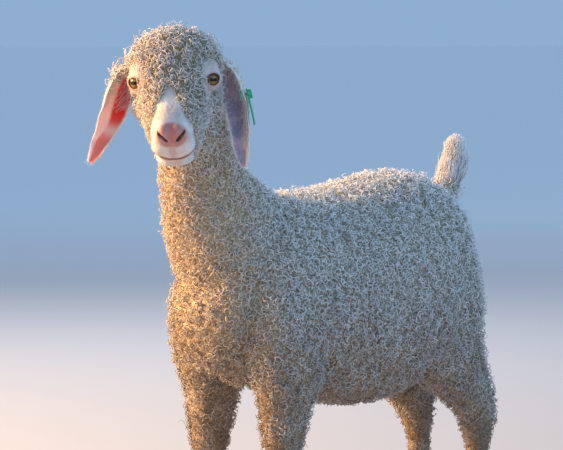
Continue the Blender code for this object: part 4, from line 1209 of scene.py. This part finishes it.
# Towards the nose they are half as long
length = FUR_LENGTH * MAKER.uniform(0.7, 1.3, len(picked))
length = length * (1 - 0.5 * soft_step(0.075, 0.095, fur_local[:, 1]))
flatness = MAKER.uniform(0.88, 0.98, (len(picked), 1))
lines = fur_lines(fur_roots, fur_normals, lie, length, flatness, MAKER)
radii = np.full((len(picked), 1), FUR_RADIUS) * (1 - 0.75 * np.linspace(0, 1, FUR_STEPS)[None])
fur = lock_pieces("short_hair", lines, radii, fur_uv, MAKER.random(len(picked)))
print("short hairs:", len(picked), "in", len(fur), "pieces")

# %% [markdown]
# Longer white hairs fringe the rims of the ears and grow from the rims across both hollows. Grain in a
# material can't leave the surface, so these are hairs of their own, like the short ones.

# %% Fringes
CROSSING_GAP, RIM_GAP = 0.0018, 0.0016
CROSSING_LENGTH, RIM_LENGTH = (0.010, 0.019), (0.004, 0.009)
CROSSING_FLATNESS, RIM_FLATNESS = (0.72, 0.88), (0.75, 0.95)
FRINGE_RADIUS, FRINGE_STEPS = 0.00023, 7
on_rim = ear_here & (triangle_along > 0.15) & (np.abs(triangle_across) > 0.90)
crossing = ear_here & (triangle_along > 0.10) & triangle_inside
crossing &= triangle_along < np.where(triangle_right, 0.46, 0.80)
crossing &= (triangle_across > 0.45) | (triangle_right & (triangle_across < -0.25))
gaps = np.where(crossing, CROSSING_GAP, RIM_GAP)
fringe_roots, fringe_normals, fringe_uv, picked = scatter(
    skin_triangles, gaps, on_rim | crossing, MAKER, fill)
across_in = crossing[picked]
toward = -np.sign(in_head(fringe_roots)[:, :1] * triangle_across[picked][:, None]) * outward
lie = np.where(across_in[:, None], toward * 0.9 + down * 0.8, down * 1.0 + fringe_normals * 0.4)
length, flatness = (
    np.where(across_in, MAKER.uniform(*first, len(picked)), MAKER.uniform(*second, len(picked)))
    for first, second in ((CROSSING_LENGTH, RIM_LENGTH), (CROSSING_FLATNESS, RIM_FLATNESS)))
lines = fur_lines(
    fringe_roots, fringe_normals, lie, length, flatness[:, None], MAKER, FRINGE_STEPS, 0.9)
radii = np.full((len(picked), 1), FRINGE_RADIUS) * (1 - 0.7 * np.linspace(0, 1, FRINGE_STEPS)[None])
fur += lock_pieces("ear_fringe", lines, radii, fringe_uv, MAKER.random(len(picked)))
print("fringe hairs:", len(picked))

# %% [markdown]
# ## Materials
#
# Each one is named for the real thing and how its surface came about. Nodes could be laid out by hand in
# the shader editor, but in code one small function adds any node, so a material reads as a list of what
# it does. A table says which sockets each kind of node takes.

# %% Colours and nodes
def linear(code):
    """An sRGB hex colour as the linear numbers that Blender's sockets take."""
    parts = [int(code[i : i + 2], 16) / 255 for i in (1, 3, 5)]
    return tuple(c / 12.92 if c <= 0.04045 else ((c + 0.055) / 1.055) ** 2.4 for c in parts) + (1.0,)


# For each kind of node: Blender's name for it, its settings, its inputs in the order in which they are
# given, and the output that is read, or None for the node itself. The Mix node's colours are 6, 7 and 2.
KINDS = {
    "mix": ("Mix", {"data_type": "RGBA"}, (0, 6, 7), 2),
    "step": ("MapRange", {"interpolation_type": "SMOOTHSTEP"}, (0, 1, 2, 3, 4), 0),
    "bump": ("Bump", {}, ("Height", "Distance", "Strength"), 0),
    "map": ("Attribute", {}, (), "Fac"),
    "vectors": ("Attribute", {}, (), "Vector"),
    "position": ("NewGeometry", {}, (), "Position"),
    "place": ("TexCoord", {}, (), "Object"),
    "split": ("SeparateXYZ", {}, (0,), None),
    "length": ("VectorMath", {"operation": "LENGTH"}, (0,), "Value"),
    "noise": ("TexNoise", {}, ("Vector", "Scale", "Detail"), "Fac"),
    "line noise": ("TexNoise", {"noise_dimensions": "1D"}, ("W", "Scale", "Detail"), "Fac"),
    "cells": ("TexVoronoi", {}, ("Vector", "Scale"), "Distance"),
    "bands": ("TexWave", {"bands_direction": "Z"}, ("Vector", "Scale", "Distortion", "Detail"), "Fac"),
    "surface": ("BsdfPrincipled", {}, (), 0),
    "output": ("OutputMaterial", {}, ("Surface",), None),
}
for operation in ("ADD", "SUBTRACT", "MULTIPLY", "DIVIDE", "POWER", "SQRT", "ABSOLUTE", "ARCTAN2"):
    KINDS[operation.lower()] = ("Math", {"operation": operation}, (0, 1), 0)


def node(tree, kind, *inputs, **more):
    """Adds one node with its settings and links, and returns its output. An input is a number, a colour
    or another node's output. In more, a name with a capital is a socket's and any other a setting's."""
    blender_name, settings, sockets, output = KINDS[kind]
    made = tree.nodes.new("ShaderNode" + blender_name)
    values = dict(zip(sockets, inputs))
    for name, value in (settings | more).items():
        if name[0].isupper():
            values[name.replace("_", " ")] = value
        else:
            setattr(made, name, value)
    for socket, value in values.items():
        if isinstance(value, bpy.types.NodeSocket):
            tree.links.new(value, made.inputs[socket])
        else:
            made.inputs[socket].default_value = value
    return made if output is None else made.outputs[output]


def new_material(name):
    """An empty material, and the function that adds nodes to it."""
    material = bpy.data.materials.new(name)
    material.use_nodes = True
    material.node_tree.nodes.clear()
    return material, functools.partial(node, material.node_tree)


print("white in linear numbers:", [round(c, 2) for c in linear("#FFFFFF")])

# %% [markdown]
# ** Mohair, grown and weathered.** The fibre is nearly white with a silky lustre. Grease and dust turn the
# roots golden brown, and mud darkens the legs. The roots and the felt are also painted darker, as the shade
# in the gaps between the curls. The breast and the front of the neck carry golden grease, painted stronger
# as the warm light that falls there. Lustre is a sheen, set on the shader's own socket.

# %% Mohair
MOHAIR_TIP, MOHAIR_MID, MOHAIR_ROOT_GREASE_AND_SHADE = linear("#FEFCF8"), linear("#E4DED2"), linear("#8F7C60")
MOHAIR_GREY, MOHAIR_DUST, MOHAIR_GREASE_AND_WARM_LIGHT = linear("#DADCDE"), linear("#7A5931"), linear("#CFA25C")
# Patches of dust and of greyer wool about 35 mm across, as noise cells a metre
PATCHES = 28.0


def dusted(add, base, top, strength):
    """The colour with golden-brown dust on it: most near the ground and none above the height top."""
    height = add("split", add("position")).outputs["Z"]
    patches = add("noise", add("place"), PATCHES, 3.0)
    low = add("step", height, 0.12, top, 1.0, 0.0)
    share = add("multiply", low, add("step", patches, 0.32, 0.62, 0.55, 1.0))
    return add("mix", add("multiply", share, strength), base, MOHAIR_DUST)


def mohair(name, felt=False):
    material, add = new_material(name)
    position = add("split", add("position"))
    if felt:
        # Real fibres are hundredths of a millimetre thick, so tufts of 2.4 mm stand for them
        place = add("place")
        strands = add("noise", place, 420.0, 4.0)
        # The felt is painted darker on the head, as the shade between the curls there, so that the curls
        # stand out
        lightest = add("step", position.outputs["Z"], 0.57, 0.62, 0.48, 0.15)
        along = add("step", strands, 0.38, 0.70, 0.0, lightest)
        tone = add("noise", place, PATCHES, 3.0)
        normal = add("bump", strands, 0.002, 0.8)
    else:
        along, tone = (add("map", attribute_name=key) for key in ("along", "tone"))
        # Streaks along the lock, each about 10 mm long, in the place of single fibres
        fibre = add("vectors", attribute_name="fibre")
        normal = add("bump", add("noise", fibre, 1.6, 3.0), 0.0006, 0.7)
    # Darker towards the root: grease, and painted shade in the gaps between the curls
    base = add("mix", add("step", along, 0.02, 0.45), MOHAIR_ROOT_GREASE_AND_SHADE, MOHAIR_MID)
    base = add("mix", add("step", along, 0.30, 0.85), base, MOHAIR_TIP)
    base = add("mix", add("step", tone, 0.55, 1.0, 0.0, 0.45), base, MOHAIR_GREY)
    # A golden tint on the breast and on the front of the neck, partly grease and dust, and partly painted
    # warm light where the main lamp falls
    front = add("step", position.outputs["Y"], -0.17, -0.06, 1.0, 0.0)
    low = add("step", position.outputs["Z"], 0.50, 0.60, 0.42, 0.18)
    base = add("mix", add("multiply", front, low), base, MOHAIR_GREASE_AND_WARM_LIGHT)
    add("output", add(
        "surface", Base_Color=dusted(add, base, 0.47, 0.88), Roughness=0.42, Normal=normal,
        Sheen_Weight=0.20, Sheen_Roughness=0.40, Specular_IOR_Level=0.5))
    return material


fur_material, add = new_material("short white face hair")
tip = add("step", add("map", attribute_name="along"), 0.0, 0.9)
base = dusted(add, add("mix", tip, linear("#E4D9D0"), linear("#FBF8F4")), 0.30, 0.95)
add("output", add(
    "surface", Base_Color=base, Roughness=0.6, Sheen_Weight=0.2, Sheen_Roughness=0.4))
curls_material = mohair("mohair, curled locks")
felt_material = mohair("mohair, close felt at the skin", felt=True)
print("mohair ready")

# %% [markdown]
# ** Goat skin under short hair.** White hairs about 6 mm long lie over pink skin. The nose, lips and lid
# rims are bare and pink. The insides of the ears are thin pink skin. The right one is painted red as light
# glowing through it, and the left one lilac as shade. The ears' hair is painted paler than the face's,
# partly as that glow. Painted shade darkens the nostrils, the mouth's crease and the places where the lids
# meet the eye.

# %% Skin
HAIR_WHITE, HAIR_SHADE, SKIN_PINK = linear("#E6DBD1"), linear("#CDB8AB"), linear("#D9A19A")
NOSE_PINK, FOLD_SHADE = linear("#BD7A70"), linear("#2E1410")
# The ears' hollows are painted with light: a red glow through the right one, paler at its tip, and lilac
# shade on the left one
EAR_RED_GLOW, EAR_TIP_GLOW, EAR_WHITE_AND_GLOW = linear("#E22C1E"), linear("#F08A76"), linear("#FBEFE6")
EAR_LILAC_SHADE, EAR_LILAC_SHADE_PALE = linear("#978EA8"), linear("#C4B2BE")

skin_material, add = new_material("goat skin under short white hair")
pink, dark, ear_hollow, ear_length, ear_side = (
    add("map", attribute_name=key) for key in ("pink", "dark", "hollow", "ear_along", "ear_right"))
# Mottles 22 mm across, hairs drawn 1.1 mm apart, coarser than real so that they show, and the pebbles of
# the nose 1.6 mm across
place = add("place")
mottle, hairs = add("noise", place, 45.0, 4.0), add("noise", place, 900.0, 3.0)
pebbles = add("cells", place, 620.0)
hair = add("mix", add("step", mottle, 0.35, 0.7), HAIR_WHITE, HAIR_SHADE)
bare = add("mix", add("step", mottle, 0.3, 0.7), NOSE_PINK, SKIN_PINK)
base = add("mix", pink, dusted(add, hair, 0.30, 0.95), bare)
# The left ear's hollow is painted lilac as the shade it lies in, and the right one's red as light glowing
# through it, paler at its tip
lilac = add("mix", add("step", mottle, 0.35, 0.65), EAR_LILAC_SHADE, EAR_LILAC_SHADE_PALE)
hollow_glow_and_shade = add("mix", ear_side, lilac, EAR_RED_GLOW)
tip_share = add("multiply", add("step", ear_length, 0.50, 0.75), ear_side)
hollow_glow_and_shade = add("mix", tip_share, hollow_glow_and_shade, EAR_TIP_GLOW)
# The ears' hair is paler than the face's: partly its own white, partly a painted glow of light on the ears
base = add("mix", add("step", ear_length, 0.0, 0.1, 0.0, 0.8), base, EAR_WHITE_AND_GLOW)
base = add("mix", ear_hollow, base, hollow_glow_and_shade)
# Painted shade: dark in the nostrils, the mouth's crease and where the lids meet the eye
base = add("mix", dark, base, FOLD_SHADE)
grain = add("add", add("multiply", hairs, 0.6), add("multiply", pebbles, pink))
add("output", add(
    "surface", Base_Color=base, Roughness=add("step", pink, 0.0, 1.0, 0.62, 0.42),
    Normal=add("bump", grain, 0.0007, 0.6), Subsurface_Radius=(1.0, 0.35, 0.2), Subsurface_Scale=0.004,
    Subsurface_Weight=add("step", ear_length, 0.0, 0.1, 0.18, 0.45)))
print("skin ready")

# %% [markdown]
# ## Eyes
#
# A goat's pupil is a level slot, and its iris is amber with a dark rim. The eyeball is one sphere with a
# slight bulge for the cornea. A picture could be wrapped round it, but paint by distance from the eye's
# own axes stays sharp, and those axes keep the slot level with the ground.

# %% Paint of the eye
IRIS_OUT, IRIS_IN, PUPIL, EYE_RIM, EYE_WHITE = (
    linear("#5E3C18"), linear("#A87A38"), linear("#050403"), linear("#1E120B"), linear("#4A342A"))
# Half the pupil's width and height, how far it stands above the middle, and where, from the eye's axis,
# the iris's dark rim comes in and where the iris itself ends
PUPIL_HALF, PUPIL_RISE = (0.0050, 0.0021), 0.0004
RIM_EDGE, IRIS_EDGE = (0.0066, 0.0082), (0.0084, 0.0094)

eye_material, add = new_material("wet eye, amber iris under a clear cornea")
split = add("split", add("place"))
across, rise = split.outputs["X"], split.outputs["Z"]
distance = add("sqrt", add(
    "add", add("power", across, 2.0), add("power", rise, 2.0)))
bearing = add("arctan2", rise, across)
rays = add("line noise", add("multiply", bearing, 9.0), 2.2, 4.0)
iris = add("mix", add("step", distance, 0.002, 0.0085), IRIS_IN, IRIS_OUT)
iris = add("mix", add("step", rays, 0.35, 0.75, 0.0, 0.55), iris, IRIS_OUT)
# The upper lid shades the iris, and below it is amber right to its edge
lid_shade = add("step", rise, -0.006, 0.003, 0.25, 1.0)
rim = add("multiply", add("step", distance, *RIM_EDGE), lid_shade)
iris = add("mix", rim, iris, EYE_RIM)
# The slot is a rounded oblong: the fourth powers of its shares across and up add up to 1 on its edge
slot_across = add("divide", across, PUPIL_HALF[0])
slot_rise = add("divide", add("subtract", rise, PUPIL_RISE), PUPIL_HALF[1])
slot = add("add", *(
    add("power", add("absolute", share), 4.0) for share in (slot_across, slot_rise)))
paint = add("mix", add("step", slot, 0.8, 1.2, 1.0, 0.0), iris, PUPIL)
paint = add("mix", add("step", distance, *IRIS_EDGE), paint, EYE_WHITE)
add("output", add(
    "surface", Base_Color=paint, Roughness=0.35, Specular_IOR_Level=0.15, Coat_Weight=0.55,
    Coat_Roughness=0.02, IOR=1.376))
print("eye paint ready")

# %% Eyeballs
CORNEA_BULGE, CORNEA_EDGE = 0.0009, 0.72

eyes = []
for name, mirror in (("eye_left", 1), ("eye_right", -1)):
    eye = ellipsoid("glossy_" + name, Vector(), [EYE_RADIUS] * 3, 64, 40)
    for vert in eye.data.vertices:
        facing = max(0.0, vert.co.y / EYE_RADIUS)
        vert.co.y += CORNEA_BULGE * soft_step(CORNEA_EDGE, 1.0, facing)
    eye.matrix_world = Matrix.Translation(PLACE) @ HEAD_FRAME @ eye_frame(mirror)
    eye.data.shade_smooth()
    eye.data.materials.clear()
    eye.data.materials.append(eye_material)
    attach(eye, "root")
    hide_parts(name)
    eyes.append(eye)
print("eyes:", [eye.name for eye in eyes])

# %% [markdown]
# ## Putting pieces on
#
# All but the eyes is made about the middle of the body. Each piece is moved to where the solids stand,
# gets its material, rides on the body and hides the solids it stands for. Parenting it all to an empty
# would move it too, but then every piece would carry a hidden offset.

# %% Moving, painting and riding
def put_on(obj, material, slot, *replaced):
    obj.data.transform(Matrix.Translation(PLACE))
    obj.data.materials.clear()
    obj.data.materials.append(material)
    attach(obj, "root")
    if replaced:
        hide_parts(*replaced)


print("put_on is ready for", len(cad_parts), "solids to be replaced")

# %% [markdown]
# ## Hooves
#
# Each foot has two claws of horn with growth ridges round them, flat below, and two small dewclaws
# behind. Horn grows down from the skin in layers, so its ridges run round it, level with the ground.
# Blender's Wave texture draws them, because ridges 3 mm apart would need many more rings in the mesh.

# %% Horn
CLAW_SPREAD = 0.0086
# Height, how far back the middle is, half width and half length
CLAW = (
    (0.000, 0.0000, 0.0078, 0.0215),
    (0.004, 0.0003, 0.0081, 0.0218),
    (0.020, 0.0030, 0.0078, 0.0185),
    (0.033, 0.0062, 0.0072, 0.0145),
)
FEET = {
    "foreleg_left": Vector((0.065, -0.157, 0.0)),
    "foreleg_right": Vector((-0.065, -0.157, 0.0)) + FORELEG_STEP,
    "hindleg_left": Vector((0.062, 0.180, 0.0)),
    "hindleg_right": Vector((-0.062, 0.180, 0.0)) + HINDLEG_STEP,
}
HORN_DARK, HORN_PALE, HORN_MUD = linear("#4A3D31"), linear("#7D6A54"), linear("#64513C")

horn_material, add = new_material("hoof horn, grown in ridges and worn")
place = add("place")
# One growth ridge for each 3 mm, and stains about 11 mm across
ridges = add("bands", place, 105.0, 1.6, 2.0)
stain = add("noise", place, 90.0, 4.0)
base = add("mix", add("step", ridges, 0.2, 0.9), HORN_DARK, HORN_PALE)
base = add("mix", add("step", stain, 0.4, 0.7), base, HORN_MUD)
relief = add("bump", add("add", ridges, stain), 0.0006, 0.5)
add("output", add("surface", Base_Color=base, Roughness=0.55, Normal=relief))
print("horn ready for", len(FEET), "feet")


# %% Claws
def claw(name, foot, side):
    """One claw, drawn in and bent towards its neighbour at the toe."""
    rings = []
    for height, back, half_width, half_length in smooth_rows(CLAW, 5):
        middle = foot + Vector((side * CLAW_SPREAD, back, max(0.0, height)))
        ridge = 1 + 0.008 * math.sin(height * 2100)
        ring = []
        for j in range(28):
            angle = math.tau * j / 28
            x, y = math.cos(angle) * half_width * ridge, math.sin(angle) * half_length * ridge
            if y < 0:
                x *= 1 - 0.35 * (y / half_length) ** 2
                x -= side * 0.0022 * (y / half_length) ** 2
            ring.append(middle + Vector((x, y, 0)))
        rings.append(ring)
    return loft(name, rings)


for foot_name, foot in FEET.items():
    for side in (1, -1):
        which = "outer" if (side > 0) == ("left" in foot_name) else "inner"
        horn = claw(f"horn_{foot_name}_{which}", foot, side)
        horn.data.shade_smooth()
        put_on(horn, horn_material, "horn", f"hoof_{foot_name}_{which}")

# Dewclaws: how far aside of the leg's middle, behind it and above the ground, and their radii
DEWCLAW_PLACE, DEWCLAW_RADII = (0.0085, 0.0150, 0.0540), (0.0042, 0.0050, 0.0070)
aside, behind, above = DEWCLAW_PLACE
for foot_name in FEET:
    rows, step = (FORELEG, FORELEG_STEP) if "foreleg" in foot_name else (HINDLEG, HINDLEG_STEP)
    if "right" in foot_name:
        rows = right_leg(rows, step)
    middle = min((row[0] for row in rows), key=lambda place: abs(place[2] - above))
    for side, letter in ((1, "a"), (-1, "b")):
        dewclaw_place = Vector((middle[0] + side * aside, middle[1] + behind, above))
        dewclaw = ellipsoid(f"dewclaw_{foot_name}_{letter}", dewclaw_place, DEWCLAW_RADII, 24, 16)
        dewclaw.data.shade_smooth()
        put_on(dewclaw, horn_material, "horn")
print("claws: 8, dewclaws: 8")

# %% [markdown]
# ## The ear tag
#
# A two-piece tag: a flag with a raised boss outside the ear and a round stud inside, joined by a pin
# through the ear. It is moulded in one soft green plastic. A flat outline is thickened and its edges
# are rounded with the Bevel modifier, as a mould's edges are. An ear_point is worked out from the same
# rows as the ear, so the tag sits on it without being placed by eye.

# %% Places for the tag
# The row of the ear, the share of its half curl, and how far flag and stud stand off the ear
TAG_STATION, TAG_ROUND, TAG_STAND = 3, 0.72, 0.0013
# Radius and depth of the boss and the stud, then the pin's radius and the length that is seen inside
TAG_BOSS, TAG_STUD, TAG_PIN = (0.0062, 0.0056), (0.0065, 0.0022), (0.0016, 0.0022)
TAG_THICK, TAG_LEAN = 0.0014, math.radians(13)
TAG_HALF, TAG_FOOT = 0.0105, 0.0385
# The flag's outline as how far below the pin and half its width there
TAG_FLAG = (
    (-0.0070, 0.0045),
    (0.0, 0.0068),
    (0.0080, 0.0068),
    (0.0130, TAG_HALF),
    (0.0370, TAG_HALF),
    (TAG_FOOT, 0.0090),
)
FLAG_EDGE, BOSS_EDGE, STUD_EDGE = 0.0004, 0.0008, 0.0006


def ear_point(rows, station, share):
    """The place and outward way on an ear's back, and its thickness there, at a share of its half curl."""
    middle, radius, curl, thick, face = rows[station]
    along = (Vector(rows[station + 1][0]) - Vector(rows[station - 1][0])).normalized()
    facing = Matrix.Rotation(math.radians(face), 3, "Z") @ Vector((0, -1, 0))
    facing = (facing - along * facing.dot(along)).normalized()
    side = along.cross(facing)
    angle = share * math.radians(curl) / 2
    out = side * math.sin(angle) - facing * math.cos(angle)
    depth = thick * (1 - 0.6 * share**4)
    return Vector(middle) + facing * radius + out * (radius + depth / 2), out, depth


place, out, depth = ear_point(EAR_LEFT, TAG_STATION, -TAG_ROUND)
out = Vector((out.x, out.y, 0)).normalized()
tag_axes = Matrix((out, Vector((0, 0, 1)).cross(out), Vector((0, 0, 1)))).transposed().to_4x4()
outside = LEVEL_FRAME @ Matrix.Translation(place + out * TAG_STAND) @ tag_axes
lean = outside @ Matrix.Rotation(TAG_LEAN, 4, "Y").inverted()
inside = LEVEL_FRAME @ Matrix.Translation(place - out * (depth + TAG_STAND)) @ tag_axes
print("the ear is", round(1000 * depth, 1), "mm thick at the tag")


# %% Tag
def disc(name, radius, start, depth, matrix):
    """A disc along +X with 48 sides, placed by a matrix."""
    angles = [math.tau * j / 48 for j in range(48)]
    rings = []
    for x in (start, start + depth):
        rings.append([matrix @ Vector((x, radius * math.cos(a), radius * math.sin(a))) for a in angles])
    return loft(name, rings)


def softened(obj, width):
    """Rounds the edges that are sharper than 40 degrees."""
    edges = obj.modifiers.new("edges", "BEVEL")
    edges.width, edges.segments = width, 3
    edges.limit_method, edges.angle_limit = "ANGLE", math.radians(40)
    apply_modifiers(obj)
    obj.data.shade_smooth()
    return obj


rings = []
for below, half in smooth_rows(TAG_FLAG, 4):
    half = min(half, TAG_HALF)
    bow = 0.0006 * math.sin(math.pi * max(0.0, below) / TAG_FOOT)
    corners = ((0, -half), (TAG_THICK, -half), (TAG_THICK, half), (0, half))
    rings.append([lean @ Vector((x + bow, y, -below)) for x, y in corners])
flag = softened(loft("tag_flag", rings), FLAG_EDGE)
boss_start = TAG_THICK * 0.3
boss = softened(disc("boss", TAG_BOSS[0], boss_start, TAG_BOSS[1], lean), BOSS_EDGE)
hollow_top = disc("hollow_top", TAG_BOSS[0] * 0.45, boss_start + TAG_BOSS[1] - 0.0012, 0.004, lean)
boolean(boss, [hollow_top], "DIFFERENCE")
boolean(flag, [boss], "UNION")
stud = softened(disc("tag_stud", TAG_STUD[0], -TAG_PIN[1] - TAG_STUD[1], TAG_STUD[1], inside), STUD_EDGE)
pin = disc("pin", TAG_PIN[0], -TAG_PIN[1] - 0.0005, TAG_PIN[1] + TAG_STAND + depth + 0.003, inside)
boolean(stud, [pin], "UNION")

tag_material, add = new_material("green polyurethane, moulded and scuffed")
# Scuffs about 4 mm across, paler and rougher than the moulded surface
scuff = add("noise", add("place"), 260.0, 5.0)
paint = add("mix", add("step", scuff, 0.42, 0.72), linear("#1E9A63"), linear("#3DB583"))
add("output", add(
    "surface", Base_Color=paint, Roughness=add("step", scuff, 0.3, 0.7, 0.38, 0.55),
    Normal=add("bump", scuff, 0.0003, 0.4), IOR=1.5))
print("tag:", len(flag.data.polygons), "and", len(stud.data.polygons), "faces")

# %% [markdown]
# The skin stands for all the flesh of the solids. The felt and the locks stand for none of them, because
# the solids hold the coat and the flesh as one.

# %% Riding
LEGS = [
    f"{leg}_{side}_{part}" for leg in ("foreleg", "hindleg") for side in ("left", "right")
    for part in ("upper", "lower")]
put_on(skin, skin_material, "face", "torso", "neck", "head", "tail", "ear_left", "ear_right", *LEGS)
put_on(felt, felt_material, "fleece")
for piece in fleece:
    put_on(piece, curls_material, "fleece")
for piece in fur:
    put_on(piece, fur_material, "face")
for piece in tail_hair:
    put_on(piece, fur_material, "fleece")
put_on(flag, tag_material, "tag", "ear_tag_flag")
put_on(stud, tag_material, "tag", "ear_tag_stud")
print("skin, felt and pieces of hair that ride:", 2 + len(fleece) + len(fur) + len(tail_hair))

# %% [markdown]
# ## Floor, light and camera
#
# A pale floor and soft light from large lamps show form without harsh shadows. The main lamp stands low
# on the picture's left and is warm, as an evening sun is.

# %% Floor
floor_material, add = new_material("pale studio floor, matt paint")
# Grey paint under the goat throws less light up at it, and it pales to the white of the far floor
away = add("length", add("place"))
paint = add("mix", add("step", away, 1.0, 9.0), linear("#B9B8B4"), linear("#FAFAF9"))
add("output", add("surface", Base_Color=paint, Roughness=0.9))
bpy.ops.mesh.primitive_plane_add(size=400.0)
floor = bpy.context.object
floor.name = "studio_floor"
floor.data.materials.append(floor_material)
floor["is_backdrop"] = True
print("floor under the goat, and away to its horizon")

# %% Lamps
AIM = Vector((0.0, 0.0, 0.42))
VIEW_BEARING = math.radians(50)


def lamp(name, bearing, height, distance, size, power, colour):
    """A square lamp at a bearing in degrees from the camera's own, aimed at the goat. Its height,
    distance and size are in metres, and its power in watts."""
    angle = VIEW_BEARING + math.radians(bearing)
    data = bpy.data.lights.new(name, "AREA")
    data.size, data.energy, data.color = size, power, linear(colour)[:3]
    obj = bpy.data.objects.new(name, data)
    bpy.context.scene.collection.objects.link(obj)
    obj.location = (distance * math.sin(angle), -distance * math.cos(angle), height)
    obj.rotation_euler = (AIM - obj.location).to_track_quat("-Z", "Y").to_euler()
    return obj


lamp("key", -95, 1.42, 3.2, 0.7, 325, "#FFC98A")
lamp("fill", 48, 1.7, 3.6, 2.8, 58, "#8CC4FF")
lamp("back", 190, 2.6, 3.0, 1.2, 60, "#EAF0FF")
world = bpy.data.worlds.new("studio")
world.use_nodes = True
world.node_tree.nodes["Background"].inputs[0].default_value = linear("#A8CCF5")
world.node_tree.nodes["Background"].inputs[1].default_value = 0.70
bpy.context.scene.world = world
# The plain sRGB view keeps each finish at the colour that its material names
bpy.context.scene.view_settings.view_transform = "Standard"

# %% Camera
# The picture's size and the lens in pixels, then the column of the middle of the body and the row of the
# camera's own height
IMAGE_WIDTH, IMAGE_HEIGHT, FOCAL = 563, 450, 3040.0
BODY_COLUMN, LEVEL_ROW = 328, 38
CAMERA_DISTANCE, CAMERA_HEIGHT, SENSOR_WIDTH = 4.0, 0.70, 36.0
camera_data = bpy.data.cameras.new("view")
camera_data.sensor_width = SENSOR_WIDTH
camera_data.lens = FOCAL / IMAGE_WIDTH * SENSOR_WIDTH
camera = bpy.data.objects.new("view", camera_data)
bpy.context.scene.collection.objects.link(camera)
outward = Vector((math.sin(VIEW_BEARING), -math.cos(VIEW_BEARING), 0))
camera.location = outward * CAMERA_DISTANCE + Vector((0, PLACE.y, CAMERA_HEIGHT))
yaw = math.atan((BODY_COLUMN - IMAGE_WIDTH / 2) / FOCAL)
pitch = math.atan((IMAGE_HEIGHT / 2 - LEVEL_ROW) / FOCAL)
forward = Matrix.Rotation(yaw, 3, "Z") @ -outward
forward = (forward * math.cos(pitch) + Vector((0, 0, -math.sin(pitch)))).normalized()
camera.rotation_euler = forward.to_track_quat("-Z", "Y").to_euler()
bpy.context.scene.camera = camera
print("lens:", round(camera_data.lens, 1), "mm")

# %% Sizes
visual_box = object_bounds()
for label, box in (("solids", cad_box), ("dressed", visual_box)):
    print(label, [round(1000 * (high - low), 1) for low, high in zip(*box)], "mm")
